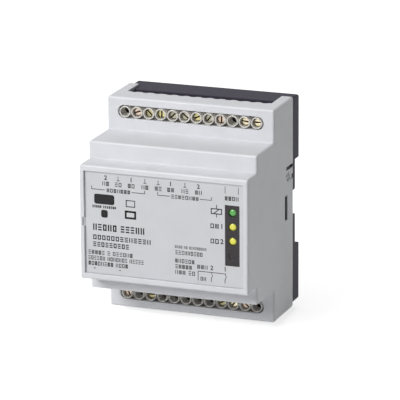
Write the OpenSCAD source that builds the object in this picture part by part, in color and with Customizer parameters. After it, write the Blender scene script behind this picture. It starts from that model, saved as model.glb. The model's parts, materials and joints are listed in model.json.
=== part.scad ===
// Photocell amplifier in a stepped housing that snaps onto a 35 mm rail.
// X runs along the rail, +Y towards the wall and +Z up.
// The origin is the middle of the housing, on the plane where the front of the rail lies.
// A depth is measured from that plane towards the front, so a point at depth d has y = -d.

/* [Housing] */
// Height of the terminal faces
housing_h = 88; // [86:0.5:94]
// Height of the middle step
step_h = 61; // [59:0.5:63]
// Height of the front that stands out of a distribution board
front_h = 47; // [45:0.5:50]
// Depth of the front face
front_d = 57.3; // [56:0.1:62]
// Depth of the middle step's face
step_d = 46.7; // [45:0.1:50]
// Depth of the terminal faces
terminal_d = 26.7; // [25.5:0.1:30]
// Depth where the cover ends and the base shows
cover_end_d = 4.1; // [3.6:0.1:5]
// Thickness of the cover's walls
wall = 1.8; // [1.4:0.1:2]
// Radius of the cover's outer edges
edge_r = 0.9; // [0.4:0.1:1.4]
// Width of the housing beyond each end of a terminal row
cheek = 4.9; // [4:0.1:8]

/* [Front panel] */
// Rim of the cover beside the panel
rim_side = 1.85; // [1.8:0.05:3]
// Rim of the cover above and below the panel
rim_end = 2.4; // [2:0.1:4]
// How far the panel lies behind the rim
panel_recess = 1.1; // [0.5:0.1:1.6]
// Thickness of the panel
panel_t = 1.5; // [1.2:0.1:2]
// Width of the ledge that the panel rests on
ledge_w = 1.4; // [1:0.1:2]
// Thickness of that ledge
ledge_t = 1.4; // [1:0.1:2]
// Play round the panel
panel_gap = 0.1; // [0.05:0.05:0.2]
// Height of the notch where a blade lifts the panel out
pry_h = 3.6; // [2:0.1:5]
// Depth of that notch into the rim
pry_cut = 0.8; // [0.4:0.1:1.2]

/* [Indicators] */
// Width of the panel to the right of the indicator window
window_side = 1.95; // [1:0.05:3]
// Width of the indicator window
window_w = 6; // [5:0.1:6.5]
// Height of the indicator window
window_h = 24.7; // [22:0.1:30]
// Radius of an indicator's lens
led_r = 1.5; // [1.2:0.1:1.6]
// Distance from one indicator to the next
led_pitch = 5.8; // [5.4:0.1:6.2]
// Distance of the top indicator from the window's top
led_edge = 3.05; // [2.6:0.05:3.5]
// Depth of the blank place for a fourth indicator
blank_t = 0.35; // [0.2:0.05:0.6]
// How far the lens ends lie behind the panel's face
led_sunk = 0.3; // [0.1:0.1:0.5]

/* [Terminals] */
// Number of poles in each row
poles = 12; // [12:1:12]
// Distance from one pole to the next
pitch = 5.08; // [5:0.04:5.4]
// Distance of the screws' axes from the housing's top or bottom
terminal_edge = 6; // [5.8:0.1:6.4]
// Radius of the round ends of the long window over a terminal row
row_window_r = 2.7; // [2.6:0.05:3]
// Play between the outermost collars and the ends of that window
row_window_play = 0.3; // [0.1:0.05:0.5]
// Radius of a collar
collar_r = 2.3; // [2.2:0.05:2.4]
// Wall of a collar
collar_wall = 0.42; // [0.3:0.02:0.5]
// Gap between the terminal block and the cover's face
block_gap = 0.2; // [0.1:0.05:0.4]
// Terminal block from the screws' axes outwards
block_out = 3.1; // [3:0.1:3.3]
// Terminal block from the screws' axes inwards
block_in = 4.6; // [4.4:0.1:6]
// Width of a wire entry
entry_w = 3.9; // [3.4:0.1:4.1]
// Rear edge of the cover's lip over the wire entries, as a depth
lip_d = 16.6; // [16.2:0.1:17.4]
// Front edge of the base's tongue behind the wire entries, as a depth
tongue_d = 10; // [9:0.1:10.4]
// Radius of the scallops in the lip
scallop_r = 2.1; // [1.8:0.1:2.4]
// Cut of the scallops into the lip
scallop_cut = 0.8; // [0.4:0.1:1.2]

/* [Clamps] */
// Radius of a screw's head
head_r = 1.72; // [1.6:0.02:1.74]
// Thickness of a screw's head
head_t = 1.9; // [1.6:0.1:2.1]
// How far a screw's head lies behind the collar's end
head_sunk = 1.7; // [1.4:0.1:2]
// Radius of a screw's shank
shank_r = 1.45; // [1.3:0.05:1.5]
// Width of the screwdriver slot
slot_w = 0.6; // [0.5:0.05:0.8]
// Depth of the screwdriver slot
slot_t = 0.9; // [0.6:0.1:1.1]
// Running clearance between a screw and the threaded plate of its cage
thread_gap = 0.08; // [0.05:0.01:0.1]
// Clearance of moving clamp parts from the block
move_gap = 0.15; // [0.12:0.01:0.18]
// Thickness of the block's shoulder under a head
shoulder_t = 1; // [0.8:0.1:1.2]
// Width of a clamp cage
cage_w = 4.2; // [4:0.05:4.2]
// Height of a clamp cage along the wire
cage_h = 4.6; // [4.2:0.1:4.8]
// Thickness of a cage's side walls
cage_side = 0.5; // [0.4:0.05:0.55]
// Thickness of a cage's threaded plate
cage_nut = 1.6; // [1.4:0.1:1.7]
// Thickness of a cage's clamping plate
cage_foot = 0.9; // [0.8:0.1:1]
// Travel of a cage
cage_travel = 3.125; // [2.5:0.125:3.25]
// Thickness of a contact bar
bar_t = 0.8; // [0.6:0.05:0.9]
// Width of a contact bar
bar_w = 2.8; // [2.4:0.1:2.9]
// Room between a screw's tip and the contact bar
tip_room = 0.3; // [0.2:0.05:0.5]
// How far a screw's tip stands out of its cage's threaded plate
tip_out = 0.6; // [0.4:0.1:0.8]
// Bevel of a screw's tip and of its head
screw_bevel = 0.3; // [0.2:0.05:0.4]
// Width of the leg under a contact bar
leg_w = 1; // [0.8:0.1:1]
// Thickness of that leg
leg_t = 0.8; // [0.6:0.1:0.8]
// How far a leg stands out behind the main board
leg_out = 1.6; // [1:0.1:1.8]

/* [Base] */
// How far the base reaches behind the front of the rail
base_back = 4.9; // [4.6:0.1:6]
// How far the base's top lies under the cover's top
base_drop = 0.9; // [0.6:0.1:1.1]
// Thickness of the base's walls
base_wall = 1.8; // [1.5:0.1:2]
// Thickness of the rail channel's floor
floor_t = 2; // [1.8:0.1:2.2]
// Radius of the base's corners at its top and bottom
base_r = 1.2; // [0.6:0.1:1.6]
// Radius of the base's upright rear edges
base_side_r = 0.5; // [0.3:0.1:1.2]
// Width of the snap skirt's wall
skirt_t = 1.8; // [1.4:0.1:1.9]
// Play between the snap skirt and the cover
skirt_gap = 0.2; // [0.15:0.05:0.3]
// How far the skirt runs past a snap tooth at either end
skirt_past = 18; // [12:0.5:20]
// How far a snap tooth lies behind the cover's outside
tooth_sunk = 0.3; // [0.2:0.1:0.8]
// Height of a snap tooth
snap_h = 10.5; // [8:0.1:12]
// Middle of the snap teeth
snap_z = -0.95; // [-2:0.05:1]
// Depth where a snap tooth's window starts
snap_d = 9.2; // [8.8:0.1:9.6]
// Length of a snap tooth's window along the depth
snap_len = 3.2; // [3:0.1:4]

/* [Rail] */
// Height of the rail
rail_h = 35; // [35:0.1:35.4]
// Thickness of the rail's flanges
rail_t = 1; // [0.8:0.1:1.5]
// Height of the rail's middle
rail_z = -0.6; // [-1.2:0.1:0.4]
// Play above the rail
rail_gap = 0.2; // [0.1:0.05:0.4]
// Room below the rail, which the latch closes
latch_room = 0.8; // [0.6:0.1:1.2]
// How far the fixed hooks reach over the upper flange
hook_reach = 1.8; // [1.4:0.1:2.2]
// Width of a fixed hook
hook_w = 12; // [8:0.5:16]
// Middle of a fixed hook from the housing's middle
hook_x = 19; // [16:0.5:22]
// Play between a flange and what grips it
grip_gap = 0.15; // [0.1:0.05:0.25]

/* [Latch] */
// Width of the latch
latch_w = 16; // [14:0.5:18]
// Thickness of the latch
latch_t = 2.6; // [2.2:0.1:2.7]
// How far the latch reaches over the lower flange
latch_reach = 1.5; // [1.2:0.1:1.8]
// How far the latch's tab stands out below the base
latch_tab = 3.9; // [3:0.1:6]
// Play round the latch
latch_gap = 0.2; // [0.15:0.05:0.25]
// Overlap of the guide's lips and the latch
guide_lip = 1; // [0.6:0.1:1.4]
// Width of the latch beside its window
latch_side = 2.8; // [2:0.1:3.2]
// Play between the spring's bends and the sides of that window
spring_gap = 0.7; // [0.3:0.1:1]
// Height of the latch's bevelled nose
nose_h = 2.6; // [2:0.1:3.4]
// Thickness of the spring's wire
wire_t = 0.7; // [0.5:0.05:0.8]
// Number of bends in the spring
spring_bends = 6; // [4:2:8]

/* [Boards] */
// Thickness of the circuit boards
board_t = 1.6; // [1.4:0.1:1.8]
// Depth of the main board's rear face
board_d = 4.6; // [4.4:0.1:5]
// Play between the main board and the snap skirt
board_gap = 0.4; // [0.2:0.1:0.8]
// Depth of the front board's rear face
front_board_d = 47.6; // [47:0.1:48.4]
// Play between the front board and the cover's sides
front_board_side = 2.2; // [1:0.1:2.6]
// Play between the front board and the cover above and below it
front_board_end = 2.45; // [1.45:0.05:3]
// Middle of the riser board, which joins the two, from the housing's middle
riser_x = 26; // [25:0.5:27]
// Distance between the lower terminal block and the relays
relay_room = 3.6; // [3:0.1:6]
// Distance between the tall parts of the supply and the wall of the cover's middle step
supply_room = 0.8; // [0.4:0.1:3]
// Length of a relay
relay_l = 19; // [18:0.5:19.5]
// Width of a relay
relay_w = 15.5; // [14:0.5:15.5]
// Height of a relay over its board
relay_h = 15.3; // [12:0.1:15.7]
// Distance from one relay to the next
relay_pitch = 21; // [20.5:0.5:24]
// Radius of the supply's storage capacitor
supply_capacitor_r = 6.25; // [5:0.25:6.25]
// Height of the supply's storage capacitor
supply_capacitor_h = 20; // [16:0.5:25]
// Radius of the filter capacitor
filter_capacitor_r = 5; // [4:0.25:5]
// Height of the filter capacitor
filter_capacitor_h = 16; // [12:0.5:25]
// Radius of the choke
choke_r = 5; // [4:0.25:5]
// Radius of the fuse
fuse_r = 4.2; // [4:0.1:4.3]
// Distance from one part of the supply to the next
supply_pitch = 14; // [13:0.1:14.5]
// Length of the control chip
control_chip_l = 25.4; // [20:0.2:26]
// Length of the amplifier chip
amplifier_chip_l = 19; // [16:0.2:20]
// Width of both chips
chip_w = 6.4; // [6.2:0.1:6.8]

/* [Hidden] */

$fn = 48;
// Amount by which a cut runs past the face that it opens
past = 0.5;

// Poles that have a clamp fitted
upper_poles = [2, 3, 4, 5, 6, 7, 8, 9, 11, 12];
lower_poles = [1, 3, 9, 10, 11];

housing_w = poles * pitch + 2 * cheek;
block_w = poles * pitch;
inner_w = housing_w - 2 * wall;
terminal_z = housing_h / 2 - terminal_edge;
board_front_d = board_d + board_t;

// Front panel and the opening that it fits
opening_w = housing_w - 2 * rim_side;
opening_h = front_h - 2 * rim_end;
panel_face_d = front_d - panel_recess;
panel_back_d = panel_face_d - panel_t;
ledge_back_d = panel_back_d - ledge_t;
pry_z = 0.3;
panel_x = opening_w / 2 - panel_gap;
panel_z = opening_h / 2 - panel_gap;
window_x = panel_x - window_side - window_w / 2;
led_top_z = window_h / 2 - led_edge;
front_board_face_d = front_board_d + board_t;
front_board_w = inner_w - 2 * front_board_side;
front_board_h = front_h - 2 * wall - 2 * front_board_end;
lead_pitch = 2.54;
lead_r = 0.25;

// Depths of the clamp's parts, from the front backwards
head_front_d = terminal_d - head_sunk;
head_back_d = head_front_d - head_t;
shoulder_d = head_back_d - move_gap;
pocket_front_d = shoulder_d - shoulder_t;
nut_front_d = pocket_front_d - move_gap - cage_travel;
nut_back_d = nut_front_d - cage_nut;
tip_d = nut_back_d - tip_out;
bar_front_d = tip_d - tip_room;
bar_back_d = bar_front_d - bar_t;
foot_front_d = bar_back_d - cage_travel - move_gap;
foot_back_d = foot_front_d - cage_foot;
pocket_back_d = foot_back_d - 4 * move_gap;
pocket_w = cage_w + 2 * move_gap;
pocket_in = cage_h / 2 + 2 * move_gap;
block_front_d = terminal_d - wall - block_gap;
block_inner_z = terminal_z - block_in;
leg_edge = 0.5;
leg_z = block_inner_z + leg_edge;
leg_tip_d = board_d - leg_out;
board_hole_r = 0.75;

// Base and rail channel
base_top = housing_h / 2 - base_drop;
channel_top = rail_z + rail_h / 2 + rail_gap;
channel_low = rail_z - rail_h / 2 - latch_room;
grip_y = rail_t + grip_gap;
skirt_x = inner_w / 2 - skirt_gap;
board_w = 2 * (skirt_x - skirt_t - board_gap);

// Places of the parts on the main board
relay_row_x = -2.5;
relay_z = relay_w / 2 + relay_room - block_inner_z;
supply_row_x = -22;
supply_row_z = step_h / 2 - wall - supply_room;
control_chip_x = 7;
control_chip_z = 1;
crystal_x = 12;
crystal_z = 10;
bridge_x = -21;
bridge_z = 2;
absorber_x = -11;
absorber_z = 3;
amplifier_chip_d = 27;

// Latch, drawn by its heights
latch_y = grip_y;
latch_top = rail_z - rail_h / 2 + latch_reach;
latch_low = -base_top - latch_tab;
guide_wall = 1.6;
guide_root = 0.3;
stop_t = 2;
stop_z = -base_top + 4.5;
latch_window_top = channel_low - 7;
spring_top = latch_window_top - 0.1;
spring_low = stop_z;
latch_window_w = latch_w - 2 * latch_side;

light_grey = [0.86, 0.865, 0.865];
dark_grey = [0.25, 0.245, 0.28];
panel_grey = [0.8, 0.81, 0.815];
smoke = [0.24, 0.22, 0.23];
signal_green = [0.35, 0.72, 0.3];
signal_yellow = [0.9, 0.9, 0.3];
block_grey = [0.55, 0.54, 0.52];
brass = [0.75, 0.68, 0.42];
steel = [0.7, 0.7, 0.7];
tin = [0.8, 0.8, 0.78];
board_green = [0.1, 0.4, 0.2];
relay_blue = [0.15, 0.3, 0.6];
sleeve_blue = [0.1, 0.12, 0.3];
ferrite = [0.2, 0.2, 0.2];
chip_black = [0.08, 0.08, 0.09];
varistor_blue = [0.1, 0.35, 0.6];

function pole_x(pole) = (pole - (poles + 1) / 2) * pitch;

function unit(v) = v / norm(v);

// Points of an arc of radius r that rounds the corner p between its neighbours a and b
function corner(a, p, b, r, steps = 4) =
    let (
        u = unit(a - p),
        v = unit(b - p),
        half = acos(u * v) / 2,
        centre = p + unit(u + v) * r / sin(half),
        start = p + u * r / tan(half) - centre,
        finish = p + v * r / tan(half) - centre,
        from = atan2(start.y, start.x),
        turn = (atan2(finish.y, finish.x) - from + 540) % 360 - 180
    )
    r <= 0 ? [p] : [for (i = [0:steps]) let (a = from + turn * i / steps) centre + r * [cos(a), sin(a)]];

// An outline whose corners are rounded by the radii given with them as [x, y, radius]
function rounded(points) =
    let (count = len(points), flat = [for (p = points) [p[0], p[1]]])
    [for (i = [0:count - 1])
        each corner(flat[(i + count - 1) % count], flat[i], flat[(i + 1) % count], points[i][2])];

// A bar along X whose section is drawn as [y, z]
module bar_x(width) {
    translate([-width / 2, 0, 0])
        rotate([90, 0, 90])
            linear_extrude(width)
                children();
}

// A slab along Y between two depths whose outline is drawn as [x, z]
module slab(front, back) {
    translate([0, -back, 0])
        rotate([90, 0, 0])
            linear_extrude(front - back)
                children();
}

// A box between two depths, given by its middle in X and its lowest and highest Z
module box_d(width, front, back, low, high, x = 0) {
    translate([x - width / 2, -front, low])
        cube([width, front - back, high - low]);
}

// Both rows of terminals are alike, the lower one upside down
module in_row(upper) {
    if (upper)
        children();
    else
        mirror([0, 0, 1])
            children();
}

module both_rows() {
    children();
    mirror([0, 0, 1])
        children();
}

module both_sides() {
    children();
    mirror([1, 0, 0])
        children();
}

// A step of the cover: a block whose front and side edges are rounded
module rounded_block(width, height, front, back, r) {
    w = width / 2;
    h = height / 2;
    intersection() {
        bar_x(width)
            polygon(rounded([[-back, -h, 0], [-back, h, 0], [-front, h, r], [-front, -h, r]]));
        slab(front, back)
            polygon(rounded([[-w, -h, r], [w, -h, r], [w, h, r], [-w, h, r]]));
        translate([0, 0, -h])
            linear_extrude(height)
                polygon(rounded([[-w, -back, 0], [-w, -front, r], [w, -front, r], [w, -back, 0]]));
    }
}

// The long window with round ends over a row of terminals
module row_window_outline() {
    reach = pole_x(poles) + row_window_play;
    square([2 * reach, 2 * row_window_r], center = true);
    for (side = [-1, 1])
        translate([side * reach, 0])
            circle(row_window_r);
}

// One end of the cover's inner space for each step of its outside
module cover_space() {
    box_d(inner_w, terminal_d - wall, cover_end_d - past, -housing_h / 2 + wall, housing_h / 2 - wall);
    box_d(inner_w, step_d - wall, cover_end_d, -step_h / 2 + wall, step_h / 2 - wall);
    box_d(inner_w, ledge_back_d, cover_end_d, -front_h / 2 + wall, front_h / 2 - wall);
}

// Opening for the front panel, the ledge behind it and the notch in the rim
module panel_opening() {
    h = opening_h / 2;
    box_d(opening_w, front_d + past, panel_back_d, -h, h);
    box_d(opening_w - 2 * ledge_w, front_d, ledge_back_d - past, -h + ledge_w, h - ledge_w);
    box_d(2 * pry_cut, front_d + past, panel_face_d, pry_z - pry_h / 2, pry_z + pry_h / 2, -opening_w / 2);
}

// Slot over the wire entries, with a scallop over each of them
module wire_slot() {
    low = housing_h / 2 - wall - past;
    high = housing_h / 2 + past;
    box_d(block_w + 2 * block_gap, lip_d, cover_end_d - past, low, high);
    for (pole = [1:poles])
        translate([pole_x(pole), scallop_r - lip_d - scallop_cut, low])
            cylinder(r = scallop_r, h = high - low);
}

// Snap window, spring slit, ring-shaped dimple and groove in a side wall of the cover
module side_cuts() {
    slit_z = 14.8;
    slit_h = 1.6;
    slit_d = 11;
    dimple_r = 1.7;
    dimple_core_r = 0.8;
    dimple_z = 11.3;
    dimple_d = 8.1;
    dimple_t = 0.7;
    groove_h = 2.4;
    groove_z = 10.9;
    groove_t = 0.5;
    outside = housing_w / 2;
    translate([outside, 0, 0]) {
        box_d(2 * wall + 2 * past, snap_d + snap_len, snap_d, snap_z - snap_h / 2, snap_z + snap_h / 2);
        box_d(2 * wall + 2 * past, slit_d, cover_end_d - past, slit_z - slit_h / 2, slit_z + slit_h / 2);
        translate([-dimple_t, -dimple_d, dimple_z])
            rotate([0, 90, 0])
                difference() {
                    cylinder(r = dimple_r, h = dimple_t + past);
                    translate([0, 0, -past])
                        cylinder(r = dimple_core_r, h = dimple_t + past);
                }
        box_d(
            2 * groove_t, dimple_d - dimple_r, cover_end_d - past,
            groove_z - groove_h / 2, groove_z + groove_h / 2
        );
    }
}

// Stepped cover, open at the back
module housing_cover() {
    post_r = 1.8;
    post_root = 0.3;
    post_edge = 3;
    post_x = opening_w / 2 - ledge_w;
    post_z = front_board_h / 2 - post_edge;
    color(light_grey) {
        difference() {
            union() {
                rounded_block(housing_w, housing_h, terminal_d, cover_end_d, edge_r);
                rounded_block(housing_w, step_h, step_d, cover_end_d, edge_r);
                rounded_block(housing_w, front_h, front_d, cover_end_d, edge_r);
            }
            cover_space();
            panel_opening();
            both_rows()
                translate([0, 0, terminal_z])
                    slab(terminal_d + past, terminal_d - wall - past)
                        row_window_outline();
            both_rows()
                wire_slot();
            both_sides()
                side_cuts();
        }
        // Posts that hold the front board from the front
        for (x = [-post_x, post_x], z = [-post_z, post_z])
            translate([x, -front_board_face_d, z])
                rotate([90, 0, 0])
                    cylinder(r = post_r, h = ledge_back_d - front_board_face_d + post_root);
    }
}

// Outline of the base as [y, z], hollowed by the given wall; the rail channel is its waist
module base_outline(inset) {
    front = -cover_end_d - (inset > 0 ? past : 0);
    top = base_top - inset;
    back = base_back - inset;
    up = channel_top + inset;
    low = channel_low - inset;
    floor_y = inset > 0 ? -floor_t : 0;
    r = inset > 0 ? 0 : base_r;
    polygon(rounded([
        [front, top, 0], [back, top, r], [back, up, r / 2], [floor_y, up, 0],
        [floor_y, low, 0], [back, low, r / 2], [back, -top, r], [front, -top, 0]
    ]));
}

// Tongue that closes the wire slot behind the clamps
module tongue() {
    side_play = 0.1;
    front_r = 0.5;
    inner_r = 0.3;
    corner_r = 0.6;
    root_y = 1 - cover_end_d;
    w = block_w / 2 - side_play;
    top = base_top;
    low = top - base_wall;
    intersection() {
        bar_x(2 * w)
            polygon(rounded([
                [-tongue_d, top, front_r], [-tongue_d, low, inner_r], [root_y, low, 0], [root_y, top, 0]
            ]));
        translate([0, 0, low - base_wall])
            linear_extrude(3 * base_wall)
                polygon(rounded([
                    [-w, -tongue_d, corner_r], [w, -tongue_d, corner_r], [w, root_y, 0], [-w, root_y, 0]
                ]));
    }
}

// Inner wall that enters the cover, with the tooth that shows in the cover's snap window
module snap_skirt() {
    rim = 1.2;
    root = 0.1;
    end_play = 0.15;
    catch_play = 0.1;
    catch_t = 0.7;
    ramp_play = 0.2;
    catch_y = -snap_d - catch_play;
    tooth_x = root + wall + skirt_gap - tooth_sunk;
    half_h = snap_h / 2 + skirt_past;
    box_d(
        skirt_t, snap_d + snap_len + rim, floor_t / 2,
        snap_z - half_h, snap_z + half_h, skirt_x - skirt_t / 2
    );
    translate([skirt_x - root, 0, snap_z - snap_h / 2 + end_play])
        linear_extrude(snap_h - 2 * end_play)
            polygon([
                [0, catch_y], [tooth_x, catch_y], [tooth_x, catch_y - catch_t],
                [0, -snap_d - snap_len + ramp_play]
            ]);
}

// Claw that hangs over the rail's upper flange
module fixed_hook() {
    tip_t = 0.9;
    root_t = 2.3;
    root_h = 0.4;
    tip_z = channel_top - hook_reach;
    translate([hook_x, 0, 0])
        bar_x(hook_w)
            polygon([
                [grip_y, channel_top + past], [grip_y, tip_z], [grip_y + tip_t, tip_z],
                [grip_y + root_t, channel_top - root_h], [grip_y + root_t, channel_top + past]
            ]);
}

// Space that the latch slides in, open to the back between two lips
module latch_space() {
    w = latch_w + 2 * latch_gap;
    low = -base_top - past;
    high = channel_low + past;
    box_d(w, latch_gap - latch_y, -latch_y - latch_t - latch_gap, low, high);
    box_d(latch_w - 2 * guide_lip, -latch_y, -base_back - past, low, high);
}

// Hollow body of the base, its corners rounded as seen from the side, from the front and from above
module base_shell() {
    w = housing_w / 2;
    top = base_top;
    front = -cover_end_d - past;
    intersection() {
        difference() {
            bar_x(housing_w)
                base_outline(0);
            bar_x(housing_w - 2 * base_wall)
                base_outline(base_wall);
        }
        slab(-front, -base_back - past)
            polygon(rounded([[-w, -top, base_r], [w, -top, base_r], [w, top, base_r], [-w, top, base_r]]));
        translate([0, 0, -top - past])
            linear_extrude(2 * top + 2 * past)
                polygon(rounded([
                    [-w, front, 0], [w, front, 0], [w, base_back, base_side_r], [-w, base_back, base_side_r]
                ]));
    }
}

// Dark base with the rail channel, the hooks and the latch's guide
module base() {
    guide_edge = 0.4;
    mould_play = 0.3;
    nose_play = 0.4;
    blade_play = 0.2;
    stop_short = 0.3;
    post_root = 0.2;
    post_r = 2.2;
    post_x = 26;
    post_z = 12;
    color(dark_grey) {
        difference() {
            union() {
                base_shell();
                both_rows()
                    tongue();
                both_sides()
                    snap_skirt();
                both_sides()
                    fixed_hook();
                // Body of the latch's guide
                box_d(
                    latch_w + 2 * latch_gap + 2 * guide_wall, guide_wall - latch_y + latch_gap,
                    -base_back, -base_top + guide_edge, channel_low
                );
            }
            latch_space();
            // Mould openings in the channel's floor, under the hooks and under the latch
            both_sides()
                box_d(
                    hook_w + 2 * mould_play, floor_t + past, -past / 2,
                    channel_top - hook_reach - mould_play, channel_top, hook_x
                );
            box_d(latch_w + 2 * nose_play, floor_t + past, -past / 2, channel_low, latch_top + nose_play);
            // Notches where a blade reaches the snap teeth
            both_sides()
                box_d(
                    2 * base_wall, cover_end_d + past, -past,
                    snap_z - snap_h / 2 - blade_play, snap_z + snap_h / 2 + blade_play, housing_w / 2
                );
        }
        // Stop that the spring pushes against
        box_d(
            latch_window_w - 2 * spring_gap, guide_root + latch_gap - latch_y,
            stop_short - latch_y - latch_t, stop_z - stop_t, stop_z
        );
        // Posts under the main board
        for (x = [-post_x, post_x], z = [-post_z, post_z])
            translate([x, post_root - floor_t, z])
                rotate([90, 0, 0])
                    cylinder(r = post_r, h = board_d - floor_t + post_root);
    }
}

// Sliding catch: its bevelled nose holds the lower flange and its tab takes a screwdriver
module rail_latch() {
    nose_t = 0.6;
    tab_r = 0.6;
    stop_play = 0.3;
    eye_w = 5;
    eye_h = 1.8;
    eye_z = latch_low + 1.2;
    back_y = latch_y + latch_t;
    color(dark_grey)
        difference() {
            bar_x(latch_w)
                polygon(rounded([
                    [latch_y, latch_top, 0], [latch_y + nose_t, latch_top, 0],
                    [back_y, latch_top - nose_h, tab_r], [back_y, latch_low, tab_r],
                    [latch_y, latch_low, tab_r]
                ]));
            // Window for the spring and its stop
            box_d(
                latch_window_w, past - latch_y, -back_y - past,
                stop_z - stop_t - stop_play, latch_window_top
            );
            // Eye for the screwdriver
            box_d(eye_w, past - latch_y, -back_y - past, eye_z, eye_z + eye_h);
        }
}

// Half ring of the spring's outline round its bend of that number, to the right for an even one
function spring_bend(i, r, reach, step) =
    [for (a = [-90:15:90]) [(i % 2 == 0 ? 1 : -1) * (reach + r * cos(a)), (i + 0.5) * step + r * sin(a)]];

function backwards(list) = [for (i = [len(list) - 1:-1:0]) list[i]];

// Meander spring of square wire, squeezed along Z as the latch is drawn down
module latch_spring() {
    step = (spring_top - spring_low - wire_t) / spring_bends;
    reach = (latch_window_w - wire_t - 2 * spring_gap - step) / 2;
    outer = (step + wire_t) / 2;
    inner = (step - wire_t) / 2;
    last = spring_bends - 1;
    one_side = [for (i = [0:last]) each spring_bend(i, i % 2 == 0 ? outer : inner, reach, step)];
    other_side = [for (i = [0:last]) each spring_bend(i, i % 2 == 0 ? inner : outer, reach, step)];
    middle = latch_y + latch_t / 2;
    top = spring_bends * step;
    color(steel)
        translate([0, 0, spring_low + wire_t / 2])
            slab(wire_t / 2 - middle, -wire_t / 2 - middle)
                polygon(concat(
                    [[-reach, -wire_t / 2]], one_side,
                    [[reach, top - wire_t / 2], [reach, top + wire_t / 2]],
                    backwards(other_side), [[-reach, wire_t / 2]]
                ));
}

// Plate that snaps into the cover's front, with the opening for the indicators
module front_panel() {
    w = panel_x;
    h = panel_z;
    r = 0.5;
    lug_w = 5;
    lug_t = 1.2;
    lug_x = 16;
    lug_root = 0.2;
    lug_past = 0.8;
    lug_z = h - ledge_w - 0.2;
    color(panel_grey) {
        difference() {
            slab(panel_face_d, panel_back_d)
                polygon(rounded([[-w, -h, r], [w, -h, r], [w, h, r], [-w, h, r]]));
            box_d(window_w, front_d, panel_back_d - past, -window_h / 2, window_h / 2, window_x);
        }
        // Lugs behind the plate that reach through the ledge's opening
        both_rows()
            for (x = [-lug_x, lug_x])
                box_d(lug_w, panel_back_d + lug_root, ledge_back_d - lug_past, lug_z - lug_t, lug_z, x);
    }
}

// Smoked strip over the indicators
module led_window() {
    hole_r = led_r + 0.1;
    face_d = panel_face_d - 0.15;
    color(smoke)
        difference() {
            box_d(window_w, face_d, panel_back_d, -window_h / 2, window_h / 2, window_x);
            for (i = [0:2])
                translate([window_x, -panel_face_d - past, led_top_z - i * led_pitch])
                    rotate([-90, 0, 0])
                        cylinder(r = hole_r, h = panel_t + 2 * past);
            // Blank place for a fourth indicator
            translate([window_x, -face_d - past, led_top_z - 3 * led_pitch])
                rotate([-90, 0, 0])
                    cylinder(r = hole_r, h = past + blank_t);
        }
}

// Indicator with a flange, a domed lens and two leads through its board
module indicator(tint, index) {
    lens = panel_face_d - led_sunk - front_board_face_d;
    dome = 0.7;
    flange_r = led_r + 0.3;
    flange_t = 1;
    lead_out = 1;
    lead_root = 0.2;
    color(tint)
        translate([window_x, -front_board_face_d, led_top_z - index * led_pitch])
            rotate([90, 0, 0]) {
                rotate_extrude()
                    polygon([
                        [0, 0], [flange_r, 0], [flange_r, flange_t], [led_r, flange_t], [led_r, lens - dome],
                        for (a = [15:15:75]) [led_r * cos(a), lens - dome + dome * sin(a)],
                        [0, lens]
                    ]);
                for (side = [-1, 1])
                    translate([side * lead_pitch / 2, 0, -board_t - lead_out])
                        cylinder(r = lead_r, h = board_t + lead_out + lead_root);
            }
}

// Spaces of one pole: screw, cage, wire entry and contact bar
module pole_cuts() {
    bore_r = collar_r - collar_wall;
    rotate([90, 0, 0]) {
        translate([0, 0, shoulder_d])
            cylinder(r = bore_r, h = terminal_d - shoulder_d + past);
        translate([0, 0, pocket_front_d - past])
            cylinder(r = shank_r + move_gap, h = shoulder_t + 2 * past);
    }
    box_d(pocket_w, pocket_front_d, pocket_back_d, -pocket_in, pocket_in);
    box_d(entry_w, bar_front_d, pocket_back_d, 0, block_out + past);
    leg_low = leg_z - terminal_z;
    box_d(bar_w, bar_front_d, bar_back_d, leg_low, 0);
    box_d(leg_w, bar_back_d + bar_t / 2, board_front_d - past, leg_low, leg_low + leg_t);
}

// Row of terminals: a moulded block with a collar round each screw
module terminal_block(upper) {
    groove_w = 0.5;
    groove_t = 0.6;
    groove_end = 1.5;
    color(block_grey)
        in_row(upper)
            difference() {
                union() {
                    box_d(
                        block_w, block_front_d, board_front_d,
                        terminal_z - block_in, terminal_z + block_out
                    );
                    for (pole = [1:poles])
                        translate([pole_x(pole), -block_front_d + past, terminal_z])
                            rotate([90, 0, 0])
                                cylinder(r = collar_r, h = terminal_d - block_front_d + past);
                }
                for (pole = [1:poles])
                    translate([pole_x(pole), 0, terminal_z])
                        pole_cuts();
                // Moulded grooves between the poles, on the face where the wires enter
                for (pole = [1:poles - 1])
                    box_d(
                        groove_w, block_front_d - groove_end, board_front_d + groove_end,
                        terminal_z + block_out - groove_t, terminal_z + block_out + past,
                        pole_x(pole) + pitch / 2
                    );
            }
}

// Contact bars of one row, each with a leg that is soldered into the main board
module contact_bars(upper, fitted) {
    end_z = terminal_z + cage_h / 2 + 0.2;
    color(tin)
        in_row(upper)
            for (pole = fitted) {
                box_d(bar_w, bar_front_d, bar_back_d, leg_z, end_z, pole_x(pole));
                box_d(leg_w, bar_front_d, leg_tip_d, leg_z, leg_z + leg_t, pole_x(pole));
            }
}

// Clamp screw with a slotted head; the slot's angle is seen from the front
module clamp_screw(upper, pole, slot_angle) {
    tip_r = shank_r - screw_bevel;
    color(brass)
        translate([pole_x(pole), 0, upper ? terminal_z : -terminal_z])
            rotate([90, 0, 0])
                difference() {
                    rotate_extrude()
                        polygon([
                            [0, tip_d], [tip_r, tip_d], [shank_r, tip_d + screw_bevel],
                            [shank_r, head_back_d], [head_r, head_back_d],
                            [head_r, head_front_d - screw_bevel],
                            [head_r - screw_bevel, head_front_d], [0, head_front_d]
                        ]);
                    rotate([0, 0, slot_angle])
                        translate([0, 0, head_front_d])
                            cube([3 * head_r, slot_w, 2 * slot_t], center = true);
                }
}

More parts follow.
